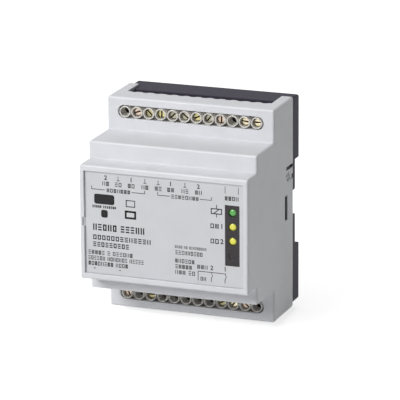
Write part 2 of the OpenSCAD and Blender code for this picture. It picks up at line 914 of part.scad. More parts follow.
// Folded cage that the screw draws forward to grip the wire against the contact bar
module clamp_cage(upper, pole) {
    w = cage_w / 2;
    inner = w - cage_side;
    r = 0.4;
    color(steel)
        translate([pole_x(pole), 0, upper ? terminal_z : -terminal_z])
            difference() {
                translate([0, 0, -cage_h / 2])
                    linear_extrude(cage_h)
                        polygon(rounded([
                            [-w, -nut_front_d, r], [w, -nut_front_d, r],
                            [w, -foot_back_d, r], [-w, -foot_back_d, r]
                        ]));
                box_d(2 * inner, nut_back_d, foot_front_d, -cage_h, cage_h);
                rotate([90, 0, 0])
                    translate([0, 0, nut_back_d - past])
                        cylinder(r = shank_r + thread_gap, h = cage_nut + 2 * past);
            }
}

// Main board, with a hole for each contact leg
module main_board() {
    end_play = 0.5;
    half_h = base_top - base_wall - end_play;
    color(board_green)
        difference() {
            box_d(board_w, board_front_d, board_d, -half_h, half_h);
            for (pole = upper_poles)
                translate([pole_x(pole), -board_d + past, leg_z + leg_t / 2])
                    rotate([90, 0, 0])
                        cylinder(r = board_hole_r, h = board_t + 2 * past);
            for (pole = lower_poles)
                translate([pole_x(pole), -board_d + past, -leg_z - leg_t / 2])
                    rotate([90, 0, 0])
                        cylinder(r = board_hole_r, h = board_t + 2 * past);
        }
}

// Board that stands between the main board and the front board
module riser_board() {
    low = -12;
    high = 14;
    color(board_green)
        box_d(board_t, front_board_d, board_front_d, low, high, riser_x);
}

// Front board, with a hole for each lead of the indicators
module front_board() {
    half_h = front_board_h / 2;
    color(board_green)
        difference() {
            box_d(front_board_w, front_board_face_d, front_board_d, -half_h, half_h);
            for (i = [0:2], side = [-1, 1])
                translate([
                    window_x + side * lead_pitch / 2, -front_board_face_d - past,
                    led_top_z - i * led_pitch
                ])
                    rotate([-90, 0, 0])
                        cylinder(r = lead_r + 0.1, h = board_t + 2 * past);
        }
}

// Sealed relay with moulded edges, to the right or the left of its row's middle
module relay(side) {
    l = relay_l / 2;
    w = relay_w / 2;
    r = 0.8;
    color(relay_blue)
        translate([relay_row_x + side * relay_pitch / 2, 0, relay_z])
            slab(board_front_d + relay_h, board_front_d)
                polygon(rounded([[-l, -w, r], [l, -w, r], [l, w, r], [-l, w, r]]));
}

// A round part of the supply, at its place in the row above, turned from its profile
module supply_part(place, r) {
    translate([supply_row_x + place * supply_pitch, -board_front_d, supply_row_z - r])
        rotate([90, 0, 0])
            rotate_extrude()
                children();
}

// Upright can capacitor with its rolled neck and vented top
module can_capacitor(place, r, height) {
    neck = 0.5;
    neck_h = 1.6;
    shoulder = 0.6;
    vent = 0.4;
    rim = 1.6;
    color(sleeve_blue)
        supply_part(place, r)
            polygon([
                [0, 0], [r, 0], [r, neck_h], [r - neck, neck_h + shoulder], [r, neck_h + 2 * shoulder],
                [r, height - shoulder], [r - shoulder, height], [r - rim + vent / 2, height],
                [r - rim, height - vent], [0, height - vent]
            ]);
}

// Drum core choke: a winding between two flanges
module supply_choke() {
    r = choke_r;
    winding_r = choke_r - 0.7;
    flange = 1.6;
    top = 11;
    color(ferrite)
        supply_part(2, choke_r)
            polygon([
                [0, 0], [r, 0], [r, flange], [winding_r, flange],
                [winding_r, top - flange], [r, top - flange], [r, top], [0, top]
            ]);
}

// Round bridge rectifier with a flat on one side
module bridge_rectifier() {
    r = 4.5;
    height = 5.3;
    flat_w = 4;
    flat_cut = 0.3;
    color(chip_black)
        translate([bridge_x, -board_front_d, bridge_z])
            rotate([90, 0, 0])
                difference() {
                    cylinder(r = r, h = height);
                    translate([r - flat_cut, -flat_w / 2, -past])
                        cube([1, flat_w, height + 2 * past]);
                }
}

// Disc surge absorber standing on its two leads
module surge_absorber() {
    r = 5;
    thickness = 4;
    stand = 6.2;
    lead_z = 2.5;
    wire_r = 0.4;
    wire_root = 1.8;
    color(varistor_blue)
        translate([absorber_x, -board_front_d - stand, absorber_z]) {
            rotate([0, 90, 0])
                cylinder(r = r, h = thickness);
            for (z = [-lead_z, lead_z])
                translate([thickness / 2, stand, z])
                    rotate([90, 0, 0])
                        cylinder(r = wire_r, h = stand - r + wire_root);
        }
}

// Round fuse with bevelled ends
module fuse() {
    r = fuse_r;
    bevel = 0.4;
    top = 7.7;
    color(chip_black)
        supply_part(3, fuse_r)
            polygon([[0, 0], [r - bevel, 0], [r, bevel], [r, top - bevel], [r - bevel, top], [0, top]]);
}

// Chip in a flat case with a notch and two rows of pins, standing on its pins
module chip(length, width, pins) {
    stand = 0.5;
    body = 3.2;
    notch_r = 0.9;
    notch_t = 0.4;
    pin_w = 0.6;
    pin_t = 0.3;
    pin_off = 0.1;
    translate([-length / 2, -width / 2, stand])
        difference() {
            cube([length, width, body]);
            translate([0, width / 2, body - notch_t])
                cylinder(r = notch_r, h = notch_t + past);
        }
    for (i = [0:pins / 2 - 1], side = [-1, 1])
        translate([
            (i - (pins / 2 - 1) / 2) * lead_pitch - pin_w / 2,
            side * (width / 2 + pin_off) - pin_t / 2, 0
        ])
            cube([pin_w, pin_t, stand + body / 2]);
}

module control_chip() {
    color(chip_black)
        translate([control_chip_x, -board_front_d, control_chip_z])
            rotate([90, 0, 0])
                chip(control_chip_l, chip_w, 20);
}

module amplifier_chip() {
    color(chip_black)
        translate([riser_x - board_t / 2, -amplifier_chip_d, 0])
            rotate([90, 0, -90])
                chip(amplifier_chip_l, chip_w, 14);
}

// Can crystal, flat on its flange
module crystal() {
    l = 11 / 2;
    w = 4.6 / 2;
    r = 2.2;
    height = 3.5;
    brim = 0.4;
    color(steel)
        translate([crystal_x, 0, crystal_z]) {
            slab(board_front_d + brim, board_front_d)
                polygon(rounded([[-l, -w, r], [l, -w, r], [l, w, r], [-l, w, r]]));
            slab(board_front_d + height, board_front_d)
                polygon(rounded([
                    [brim - l, brim - w, r - brim], [l - brim, brim - w, r - brim],
                    [l - brim, w - brim, r - brim], [brim - l, w - brim, r - brim]
                ]));
        }
}

housing_cover();
base();
rail_latch();
latch_spring();
front_panel();
led_window();
indicator(signal_green, 0);  // led_power
indicator(signal_yellow, 1);  // led_channel_1
indicator(signal_yellow, 2);  // led_channel_2
terminal_block(true);  // upper_terminal_block
terminal_block(false);  // lower_terminal_block
contact_bars(true, upper_poles);  // upper_contact_bars
contact_bars(false, lower_poles);  // lower_contact_bars
clamp_screw(true, 2, 20);  // upper_screw_2
clamp_screw(true, 3, -45);  // upper_screw_3
clamp_screw(true, 4, 90);  // upper_screw_4
clamp_screw(true, 5, 45);  // upper_screw_5
clamp_screw(true, 6, -40);  // upper_screw_6
clamp_screw(true, 7, 25);  // upper_screw_7
clamp_screw(true, 8, 50);  // upper_screw_8
clamp_screw(true, 9, 88);  // upper_screw_9
clamp_screw(true, 11, -5);  // upper_screw_11
clamp_screw(true, 12, 0);  // upper_screw_12
clamp_screw(false, 1, -65);  // lower_screw_1
clamp_screw(false, 3, 0);  // lower_screw_3
clamp_screw(false, 9, 25);  // lower_screw_9
clamp_screw(false, 10, 50);  // lower_screw_10
clamp_screw(false, 11, -40);  // lower_screw_11
clamp_cage(true, 2);  // upper_cage_2
clamp_cage(true, 3);  // upper_cage_3
clamp_cage(true, 4);  // upper_cage_4
clamp_cage(true, 5);  // upper_cage_5
clamp_cage(true, 6);  // upper_cage_6
clamp_cage(true, 7);  // upper_cage_7
clamp_cage(true, 8);  // upper_cage_8
clamp_cage(true, 9);  // upper_cage_9
clamp_cage(true, 11);  // upper_cage_11
clamp_cage(true, 12);  // upper_cage_12
clamp_cage(false, 1);  // lower_cage_1
clamp_cage(false, 3);  // lower_cage_3
clamp_cage(false, 9);  // lower_cage_9
clamp_cage(false, 10);  // lower_cage_10
clamp_cage(false, 11);  // lower_cage_11
main_board();
riser_board();
front_board();
relay(1);  // relay_1
relay(-1);  // relay_2
can_capacitor(0, supply_capacitor_r, supply_capacitor_h);  // supply_capacitor
can_capacitor(1, filter_capacitor_r, filter_capacitor_h);  // filter_capacitor
supply_choke();
bridge_rectifier();
surge_absorber();
fuse();
control_chip();
amplifier_chip();
crystal();
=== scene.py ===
# %% [markdown]
# A photocell amplifier for a 35 mm rail. The imported model gives every moulded, turned and stamped
# piece at its true place in metres, so this lesson only has to dress it: soft edges on the mouldings,
# threads on the screws, print on the front and a finish on every surface.
# The size of the bare model is kept; the floor is set just under it.

# %% Load the imported model
import json
import math
from collections import Counter

import bmesh
import bpy
from mathutils import Matrix, Vector


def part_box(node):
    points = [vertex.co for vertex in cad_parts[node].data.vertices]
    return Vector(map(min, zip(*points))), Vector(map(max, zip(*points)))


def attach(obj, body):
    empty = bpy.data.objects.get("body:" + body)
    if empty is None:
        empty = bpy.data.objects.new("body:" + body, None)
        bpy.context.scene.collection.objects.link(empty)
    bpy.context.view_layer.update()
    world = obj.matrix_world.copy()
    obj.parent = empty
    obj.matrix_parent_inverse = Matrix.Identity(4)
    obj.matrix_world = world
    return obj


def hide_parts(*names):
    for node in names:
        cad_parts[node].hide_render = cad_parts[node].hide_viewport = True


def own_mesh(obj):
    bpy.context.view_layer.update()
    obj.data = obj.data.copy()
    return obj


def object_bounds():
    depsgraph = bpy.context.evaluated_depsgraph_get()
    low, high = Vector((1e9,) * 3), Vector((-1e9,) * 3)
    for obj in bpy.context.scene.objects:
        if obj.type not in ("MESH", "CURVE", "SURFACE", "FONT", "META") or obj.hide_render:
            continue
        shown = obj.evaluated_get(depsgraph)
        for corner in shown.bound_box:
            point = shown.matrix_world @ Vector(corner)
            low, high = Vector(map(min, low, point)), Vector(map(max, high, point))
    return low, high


MM = 0.001
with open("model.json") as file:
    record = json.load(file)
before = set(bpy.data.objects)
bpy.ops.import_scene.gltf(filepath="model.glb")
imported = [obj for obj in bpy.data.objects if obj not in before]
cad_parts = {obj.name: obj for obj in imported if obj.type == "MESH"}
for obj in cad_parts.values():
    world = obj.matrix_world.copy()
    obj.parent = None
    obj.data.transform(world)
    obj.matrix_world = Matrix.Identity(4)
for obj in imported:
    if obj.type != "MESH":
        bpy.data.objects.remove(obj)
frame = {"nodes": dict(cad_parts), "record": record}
cad_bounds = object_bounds()
nodes = frame["nodes"]
record = frame["record"]
body_of_node = {name: body for body, names in record["behaviour"]["bodies"].items() for name in names}


def extent(node):
    """The lowest and highest corner of a CAD node, in millimetres."""
    low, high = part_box(node)
    return Vector(low) / MM, Vector(high) / MM


def front_of(node):
    """How far a node's front lies before the rail's plane, in millimetres."""
    return -extent(node)[0].y


PANEL_FACE = front_of("front_panel")
BOARD_FACE = front_of("main_board")
HOUSING_MIDDLE = Vector((0, (extent("base")[1].y - front_of("housing_cover")) / 2, 0)) * MM
print("panel face", round(PANEL_FACE, 2), "board face", round(BOARD_FACE, 2))

# %% [markdown]
# The camera stands where the photographer's did. A view is easiest to trust when it is written as a
# place, two angles of aim, a small roll and a lens, because each can be corrected by itself. A camera
# looks straight down until it is turned: it is rolled first, then tilted up, then turned about Z.
# The long lens keeps the edges of the housing nearly parallel, as they are in the photograph.

# %% Camera
CAMERA_PLACE = Vector((455.59, -1217.42, 372.06)) * MM
CAMERA_YAW = math.radians(20.771)
CAMERA_PITCH = math.radians(16.108)
CAMERA_ROLL = math.radians(-0.394)
LENS_MM = 298.61
SENSOR_MM = 36

turned = Matrix.Rotation(CAMERA_YAW, 4, "Z")
tilted = Matrix.Rotation(math.radians(90) - CAMERA_PITCH, 4, "X")
rolled = Matrix.Rotation(CAMERA_ROLL, 4, "Z")
camera_data = bpy.data.cameras.new("camera")
camera_data.lens = LENS_MM
camera_data.sensor_width = SENSOR_MM
camera_data.clip_start = 0.05
camera = bpy.data.objects.new("camera", camera_data)
camera.matrix_world = Matrix.Translation(CAMERA_PLACE) @ turned @ tilted @ rolled
bpy.context.scene.collection.objects.link(camera)
bpy.context.scene.camera = camera
print("camera", [round(c, 4) for c in CAMERA_PLACE])

# %% [markdown]
# Shaders, the world and Geometry Nodes are all made of nodes joined by links. One helper fills a node's
# inputs, named or numbered: a socket is linked to its input, and anything else becomes its value.

# %% Nodes
def fill(tree, node, inputs):
    """Links or sets a node's inputs, which are given by name or number."""
    for key, source in inputs.items():
        if isinstance(source, bpy.types.NodeSocket):
            tree.links.new(source, node.inputs[key])
        else:
            node.inputs[key].default_value = source
    return node


def added(tree, kind, inputs=None, **settings):
    """A new node, its settings made first and its inputs filled after them."""
    node = tree.nodes.new(kind)
    for name, value in settings.items():
        setattr(node, name, value)
    return fill(tree, node, inputs or {})


# %% [markdown]
# The photograph is a catalogue picture with nothing hard in it: a large soft light from the front left,
# a weaker one from above and a low one from behind for the far sides. Area lamps a good deal bigger than
# the object give that. The backdrop is white only for camera rays and for what gloss and glass show, so
# it never lights the housing by itself.

# %% Lights and backdrop
def area_lamp(name, place, size, power):
    """A round soft lamp that looks at the middle of the housing."""
    data = bpy.data.lights.new(name, "AREA")
    data.shape = "DISK"
    data.size = size
    data.energy = power
    lamp = bpy.data.objects.new(name, data)
    toward = HOUSING_MIDDLE - Vector(place)
    lamp.matrix_world = Matrix.Translation(place) @ toward.to_track_quat("-Z", "Y").to_matrix().to_4x4()
    bpy.context.scene.collection.objects.link(lamp)


area_lamp("key", (-0.45, -1.0, 0.65), 0.6, 11.2)
area_lamp("top", (0.0, -0.1, 1.1), 0.7, 3.7)
area_lamp("rear", (1.1, 1.9, 0.35), 0.8, 2.6)


def white_where_seen(tree, lit, seen):
    """Shows one shader to the eye, in gloss and through glass, and the other to all other light."""
    path = added(tree, "ShaderNodeLightPath")
    share = path.outputs["Is Camera Ray"]
    for kind in ("Is Glossy Ray", "Is Transmission Ray"):
        either = added(tree, "ShaderNodeMath", {0: share, 1: path.outputs[kind]}, operation="MAXIMUM")
        share = either.outputs[0]
    return added(tree, "ShaderNodeMixShader", {0: share, 1: lit, 2: seen}).outputs[0]


AMBIENT_STRENGTH = 0.055
world = bpy.data.worlds.new("studio")
bpy.context.scene.world = world
world.use_nodes = True
air = world.node_tree
ambient = fill(air, air.nodes["Background"], {"Color": (0.95, 0.97, 1.0, 1), "Strength": AMBIENT_STRENGTH})
backdrop = added(air, "ShaderNodeBackground", {"Color": (1, 1, 1, 1), "Strength": 1.0})
fill(air, air.nodes["World Output"], {
    "Surface": white_where_seen(air, ambient.outputs[0], backdrop.outputs[0]),
})
bpy.context.scene.view_settings.view_transform = "Standard"
print("lamps", len(bpy.data.lights))

# %% [markdown]
# The floor is plain pale card. What the eye sees of it gets some light of its own on top, enough that
# lit card reaches white while the soft shadow under the housing still shows.

# %% Floor
FLOOR_GAP = 0.2 * MM
FLOOR_REACH = 3.0
FLOOR_LIFT = 0.75

floor_height = cad_bounds[0][2] - FLOOR_GAP
floor_mesh = bpy.data.meshes.new("floor")
corners = [(x * FLOOR_REACH, y * FLOOR_REACH, floor_height) for x, y in ((-1, -1), (1, -1), (1, 1), (-1, 1))]
floor_mesh.from_pydata(corners, [], [(0, 1, 2, 3)])
floor = bpy.data.objects.new("floor", floor_mesh)
bpy.context.scene.collection.objects.link(floor)

card = bpy.data.materials.new("pale card")
card.use_nodes = True
card_tree = card.node_tree
card_tree.nodes.remove(card_tree.nodes["Principled BSDF"])
matt = added(card_tree, "ShaderNodeBsdfDiffuse", {"Color": (0.8, 0.8, 0.8, 1)})
glow = added(card_tree, "ShaderNodeEmission", {"Color": (1, 1, 1, 1), "Strength": FLOOR_LIFT})
lifted = added(card_tree, "ShaderNodeAddShader", {0: matt.outputs[0], 1: glow.outputs[0]})
fill(card_tree, card_tree.nodes["Material Output"], {
    "Surface": white_where_seen(card_tree, matt.outputs[0], lifted.outputs[0]),
})
floor_mesh.materials.append(card)
print("floor at", round(floor_height, 4))

# %% [markdown]
# Every finish is built from the same few moves on the object's own coordinates: a slow drift in
# colour, a fine grain that roughens some spots more than others, and the same grain as relief.
# Sizes are given in millimetres, so a pattern can be set beside the real moulding or casting.

# %% Finish helpers
USUAL_NOISE = (0.3, 0.7)
GRAIN_SWING = 0.06
STAIN_MM = 1.3
SCRATCH_SWING = (-0.1, 0.12)
SCRATCH_DEPTH_MM = 0.006


def srgb(red, green, blue):
    """The linear colour of a screen colour given from 0 to 255."""
    def linear(value):
        share = value / 255
        return share / 12.92 if share <= 0.04045 else ((share + 0.055) / 1.055) ** 2.4
    return (linear(red), linear(green), linear(blue), 1.0)


def scaled(colour, factor):
    """The same colour, darker or lighter."""
    return tuple(min(1.0, channel * factor) for channel in colour[:3]) + (1.0,)


def new_finish(name):
    """A new material with its tree and its shader."""
    finish = bpy.data.materials.new(name)
    finish.use_nodes = True
    return finish, finish.node_tree, finish.node_tree.nodes["Principled BSDF"]


def object_place(tree, stretch=(1, 1, 1)):
    """Object coordinates, with each axis squeezed by its stretch."""
    place = added(tree, "ShaderNodeTexCoord").outputs["Object"]
    if stretch == (1, 1, 1):
        return place
    return added(tree, "ShaderNodeMapping", {"Scale": stretch, "Vector": place}).outputs["Vector"]


def noise(tree, lump_mm, detail=2.0, stretch=(1, 1, 1)):
    """Noise with lumps of about that many millimetres."""
    return added(tree, "ShaderNodeTexNoise", {
        "Scale": 1 / (lump_mm * MM), "Detail": detail, "Vector": object_place(tree, stretch),
    }).outputs["Fac"]


def ranged(tree, value, low, high):
    """Spreads noise, which seldom leaves its usual range, over another one."""
    return added(tree, "ShaderNodeMapRange", {
        "From Min": USUAL_NOISE[0], "From Max": USUAL_NOISE[1], "To Min": low, "To Max": high, "Value": value,
    }).outputs["Result"]


def blended(tree, share, first, second):
    """A colour between two others."""
    return added(tree, "ShaderNodeMix", {0: share, 6: first, 7: second}, data_type="RGBA").outputs[2]


def relief(tree, shader, height, depth_mm):
    """Lets a pattern stand out of the surface by a depth."""
    bump = added(tree, "ShaderNodeBump", {"Distance": depth_mm * MM, "Height": height})
    fill(tree, shader, {"Normal": bump.outputs["Normal"]})


def moulded(name, colour, roughness, grain_mm=0.35, depth_mm=0.012, drift=0.025, patch_mm=11, gloss=0.5):
    """Moulded plastic: fine grain, with a slow drift in its colour."""
    finish, tree, shader = new_finish(name)
    drifted = ranged(tree, noise(tree, patch_mm, 3.0), 0, 1)
    grain = noise(tree, grain_mm, 3.0)
    fill(tree, shader, {
        "Specular IOR Level": gloss,
        "Base Color": blended(tree, drifted, scaled(colour, 1 - drift), scaled(colour, 1 + drift)),
        "Roughness": ranged(tree, grain, roughness - GRAIN_SWING, roughness + GRAIN_SWING),
    })
    relief(tree, shader, grain, depth_mm)
    return finish


def plated(name, colour, roughness, stretch=(1, 1, 1), grain_mm=0.25, tarnish=0.18):
    """Plated or passivated metal, its colour uneven and its polish drawn out along one axis."""
    finish, tree, shader = new_finish(name)
    stains = ranged(tree, noise(tree, STAIN_MM, 4.0), 0, 1)
    scratches = noise(tree, grain_mm, 3.0, stretch)
    fill(tree, shader, {
        "Metallic": 1.0,
        "Base Color": blended(tree, stains, scaled(colour, 1 - tarnish), scaled(colour, 1 + tarnish / 2)),
        "Roughness": ranged(tree, scratches, *(roughness + swing for swing in SCRATCH_SWING)),
    })
    relief(tree, shader, scratches, SCRATCH_DEPTH_MM)
    return finish


# %% [markdown]
# The housing's plastics: the light grey of the cover is dull and faintly cool, the base behind it is a
# darker, slightly violet grey, and the front plate is smoother than either. The terminal rows keep their
# collars cream, with painted half shade in the bores and painted deep shade between the collars.

# %% Plastics
cover_plastic = moulded("light grey moulding", srgb(222, 223, 227), 0.42)
base_plastic = moulded("dark grey moulding", srgb(46, 42, 55), 0.62, depth_mm=0.015, gloss=0.2)
panel_plastic = moulded("front plate", srgb(210, 212, 215), 0.38, grain_mm=0.2, depth_mm=0.004)
collar_plastic = moulded("cream collar", srgb(250, 247, 240), 0.42)
# The bores and the row behind the collars are the collars' plastic, as painted half shade and painted deep
# shade.
bore_painted_half_shade = moulded("bore of a collar, painted half shade", srgb(214, 211, 205), 0.5)
row_painted_deep_shade = moulded("terminal row", srgb(126, 121, 116), 0.55)
print_ink = moulded(
    "dark grey print", srgb(24, 22, 25), 0.6,
    grain_mm=0.15, depth_mm=0.002, drift=0.06, patch_mm=1.5, gloss=0.3,
)
smoked = moulded("smoked strip", srgb(42, 37, 40), 0.3, grain_mm=0.5, depth_mm=0.002, gloss=0.3)
smoked_tree = smoked.node_tree
fill(smoked_tree, smoked_tree.nodes["Principled BSDF"], {"Coat Weight": 0.15, "Coat Roughness": 0.15})
print("plastics", cover_plastic.name, base_plastic.name, panel_plastic.name)


# %% [markdown]
# An indicator's lens is tinted, milky and shiny. A trace of painted glow, as uneven as the milk,
# keeps the colour clear without turning it into a lamp.

# %% Lenses
LENS_PAINTED_GLOW = 0.18


def lens(name, colour):
    """A milky, tinted lens under a shiny coat, with a trace of painted glow."""
    finish, tree, shader = new_finish(name)
    milky = ranged(tree, noise(tree, 1.2, 2.0), 0, 1)
    tint = blended(tree, milky, scaled(colour, 0.9), scaled(colour, 1.08))
    fill(tree, shader, {
        "Base Color": tint, "Emission Color": tint, "Emission Strength": LENS_PAINTED_GLOW,
        "Roughness": 0.25, "Coat Weight": 0.5, "Coat Roughness": 0.08,
    })
    relief(tree, shader, noise(tree, 0.4, 2.0), 0.003)
    return finish


green_lens = lens("green lens", srgb(84, 162, 74))
yellow_lens = lens("yellow lens", srgb(222, 220, 82))

# %% [markdown]
# The screws were dipped in batches, so their yellow differs: some brass, some olive, some reddish,
# some pale. The inside of each slot is painted dark, as painted shade.

# %% Metals
screw_finishes = {
    "brass": plated("brass screw", srgb(200, 191, 140), 0.4),
    "olive": plated("olive screw", srgb(180, 174, 132), 0.44),
    "rose": plated("reddish screw", srgb(208, 188, 170), 0.42),
    "dull": plated("dull screw", srgb(180, 177, 158), 0.46),
    "pale": plated("pale gold screw", srgb(228, 218, 184), 0.36),
}
# The inside of each screw's slot is painted shade.
slot_painted_shade = plated("screw slot, painted shade", srgb(70, 60, 46), 0.6)
cage_steel = plated("cage steel", srgb(176, 176, 170), 0.34, stretch=(6, 1, 1))
tinned_copper = plated("tinned copper", srgb(198, 196, 188), 0.3, stretch=(1, 1, 6))
spring_steel = plated("spring wire", srgb(150, 150, 150), 0.28, stretch=(6, 1, 6))
print("screw finishes", len(screw_finishes))

# %% [markdown]
# The electronics sit in the dark, but a part is judged from inside too: solder mask over faint tracks,
# shrunk sleeves, dipped lacquer, epoxy cases and a copper winding.

# %% Finishes of the electronics
TRACK_GRID_MM = 5.08
TRACK_WIDTH = 0.06


def solder_mask(name):
    """Green lacquer over copper tracks, which show as slightly paler, raised bands."""
    finish, tree, shader = new_finish(name)
    swing = added(tree, "ShaderNodeMapping", {
        "Rotation": (math.radians(90), 0, 0), "Vector": object_place(tree, (1, 0, 1)),
    })
    tracks = added(tree, "ShaderNodeTexBrick", {
        "Scale": 1 / (TRACK_GRID_MM * MM), "Mortar Size": TRACK_WIDTH, "Vector": swing.outputs["Vector"],
        "Color1": srgb(22, 92, 48), "Color2": srgb(26, 98, 52), "Mortar": srgb(32, 106, 58),
    })
    fill(tree, shader, {
        "Base Color": tracks.outputs["Color"], "Roughness": ranged(tree, noise(tree, 0.8, 2.0), 0.26, 0.4),
    })
    relief(tree, shader, tracks.outputs["Fac"], 0.015)
    return finish


board_mask = solder_mask("solder mask")
relay_case = moulded("relay case", srgb(52, 84, 142), 0.3, depth_mm=0.004)
sleeve = moulded("capacitor sleeve", srgb(46, 50, 92), 0.25, grain_mm=1.2, depth_mm=0.01)
can_top = plated("capacitor top", srgb(190, 190, 188), 0.38)
ferrite = moulded("ferrite", srgb(58, 58, 60), 0.6)
winding = plated("copper winding", srgb(176, 108, 66), 0.35, stretch=(1, 8, 1))
epoxy_black = moulded("epoxy case", srgb(42, 42, 44), 0.55, grain_mm=0.2)
lacquer_blue = moulded("dipped lacquer", srgb(48, 96, 158), 0.3, grain_mm=0.9, depth_mm=0.02)
crystal_can = plated("crystal can", srgb(196, 196, 192), 0.25)
print("materials", len(bpy.data.materials))


# %% [markdown]
# A CAD mesh is loose triangles with knife edges. Dressing it takes three steps: merge a copy into one
# skin and make its flat faces whole, roll every edge over with a narrow bevel, and weight the normals
# by face size so that the flats stay flat to the light. The bevel's width is the tool's real radius.

# %% Dressing a CAD node
MERGE_DISTANCE = 0.0005 * MM
FLAT_ANGLE = math.radians(0.5)
EDGE_ANGLE = math.radians(30)
SHARP_ANGLE = math.radians(50)


def shown(name, mesh):
    piece = bpy.data.objects.new(name, mesh)
    bpy.context.scene.collection.objects.link(piece)
    return piece


def made_mesh(piece):
    """The plain mesh that a curve or a piece with modifiers comes to."""
    graph = bpy.context.evaluated_depsgraph_get()
    return bpy.data.meshes.new_from_object(piece.evaluated_get(graph))


def settled(piece):
    """Leaves a piece with a plain mesh in place of its modifiers."""
    mesh = made_mesh(piece)
    piece.modifiers.clear()
    piece.data = mesh
    return piece


def edit(mesh, change):
    """Runs a change on a mesh through bmesh."""
    work = bmesh.new()
    work.from_mesh(mesh)
    result = change(work)
    work.to_mesh(mesh)
    work.free()
    return result


def skin_of(node):
    """A merged copy of a CAD node, its flat faces whole again."""
    source = nodes[node].data
    mesh = bpy.data.meshes.new(node + "_skin")
    mesh.from_pydata([v.co[:] for v in source.vertices], [], [f.vertices[:] for f in source.polygons])

    def merge(work):
        bmesh.ops.remove_doubles(work, verts=work.verts, dist=MERGE_DISTANCE)
        bmesh.ops.dissolve_limit(work, angle_limit=FLAT_ANGLE, verts=work.verts, edges=work.edges)

    edit(mesh, merge)
    return mesh


def stand_in(piece, node):
    """The piece takes the node's place and body."""
    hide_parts(node)
    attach(piece, body_of_node[node])


def soften(piece, edge_mm, segments):
    """Rolls the piece's edges over and evens its normals."""
    if edge_mm > 0:
        bevel = piece.modifiers.new("rolled edges", "BEVEL")
        bevel.width = edge_mm * MM
        bevel.segments = segments
        bevel.limit_method = "ANGLE"
        bevel.angle_limit = EDGE_ANGLE
        bevel.use_clamp_overlap = False
        settled(piece)
    piece.data.shade_smooth()
    piece.data.set_sharp_from_angle(angle=SHARP_ANGLE)
    even = piece.modifiers.new("even light", "WEIGHTED_NORMAL")
    even.keep_sharp = True
    settled(piece)


def kept_inside(piece, low, high):
    """Presses what a bevel threw out at a tight corner back to the box of the plain piece."""
    for vert in piece.data.vertices:
        for axis in range(3):
            vert.co[axis] = min(max(vert.co[axis], low[axis]), high[axis])


def dressed(node, edge_mm, finishes, segments=2, reshape=None, paint=None):
    """A copy of a CAD node with rolled edges and its finishes, in the node's place."""
    piece = shown(node + "_dressed", skin_of(node))
    if reshape:
        edit(piece.data, reshape)
    low, high = Vector(piece.bound_box[0]), Vector(piece.bound_box[6])
    soften(piece, edge_mm, segments)
    kept_inside(piece, low, high)
    for finish in finishes:
        piece.data.materials.append(finish)
    if paint:
        for face in piece.data.polygons:
            face.material_index = paint(face.center / MM)
    stand_in(piece, node)
    return piece


def report(piece):
    """Prints how many faces a piece has, and how many of its edges don't join two faces."""
    faces_at = Counter(key for face in piece.data.polygons for key in face.edge_keys)
    loose = sum(count != 2 for count in faces_at.values())
    print(piece.name, "faces", len(piece.data.polygons), "open edges", loose)


# %% [markdown]
# Measured on the photograph, the details in the side walls stand about a millimetre further forward
# and higher than in the model, and the base is half a millimetre narrower at each side. The dressed
# copies follow the photograph: each row of the table carries the corners in one range of depths and one
# of heights over to new ranges.

# %% Details of the sides
SIDE_DETAILS = {
    "snap window": ((9.2, 12.4), (-6.2, 4.3), (10.4, 13.6), (-5.2, 4.9)),
    "spring slit": ((4.1, 11.0), (14.0, 15.6), (4.1, 12.0), (15.15, 16.65)),
    "groove": ((4.1, 6.4), (9.7, 12.1), (4.1, 8.1), (10.5, 12.5)),
}
RING_FROM, RING_TO = Vector((8.1, 11.3)), Vector((10.0, 12.4))
RING_RADII = (0.8, 1.7)
RING_GROWTH = 1.9 / 1.7
NOTCH_FROM, NOTCH_TO = (-6.4, 4.5), (-5.6, 4.8)
SIDE_START = 31.0
COVER_END = 4.1
BASE_SIDE = 1.5
BASE_INSET = 0.5
CLOSE = 0.05


def holds(span, value):
    return span[0] - CLOSE < value < span[1] + CLOSE


def carried(value, source, target):
    """A value's place in the target range that matches its place in the source range."""
    return target[0] + (value - source[0]) / (source[1] - source[0]) * (target[1] - target[0])


def photo_place(depth, height):
    """Where a corner of a side wall's detail stands in the photograph."""
    out = Vector((depth, height)) - RING_FROM
    if any(abs(out.length - radius) < CLOSE for radius in RING_RADII):
        return RING_TO + out * RING_GROWTH
    for depths, heights, new_depths, new_heights in SIDE_DETAILS.values():
        if holds(depths, depth) and holds(heights, height):
            at_kept_end = depths[0] == new_depths[0] and depth < depths[0] + CLOSE
            new_depth = depth if at_kept_end else carried(depth, depths, new_depths)
            return Vector((new_depth, carried(height, heights, new_heights)))
    return Vector((depth, height))


def within(point, rim):
    """Whether a point lies inside a rim across X: a ray up from it meets it an odd number of times."""
    odd = False
    for start, end in rim:
        if (start.y > point.y) != (end.y > point.y):
            share = (point.y - start.y) / (end.y - start.y)
            odd ^= point.z < start.z + share * (end.z - start.z)
    return odd


def relaid(work, planes):
    """Fills the flat faces that stand across X anew, since moved corners can make old ones cross."""
    for plane in planes:
        flat = [
            face for face in work.faces
            if all(abs(vert.co.x - plane) < MERGE_DISTANCE for vert in face.verts)
        ]
        rim = [edge for edge in work.edges if sum(face in flat for face in edge.link_faces) == 1]
        bmesh.ops.delete(work, geom=flat, context="FACES")
        ends = [(edge.verts[0].co.copy(), edge.verts[1].co.copy()) for edge in rim]
        filled = bmesh.ops.triangle_fill(work, edges=rim, use_beauty=True, use_dissolve=False)["geom"]
        faces = [part for part in filled if isinstance(part, bmesh.types.BMFace)]
        over_holes = [face for face in faces if not within(face.calc_center_median(), ends)]
        bmesh.ops.delete(work, geom=over_holes, context="FACES")
    bmesh.ops.recalc_face_normals(work, faces=work.faces)


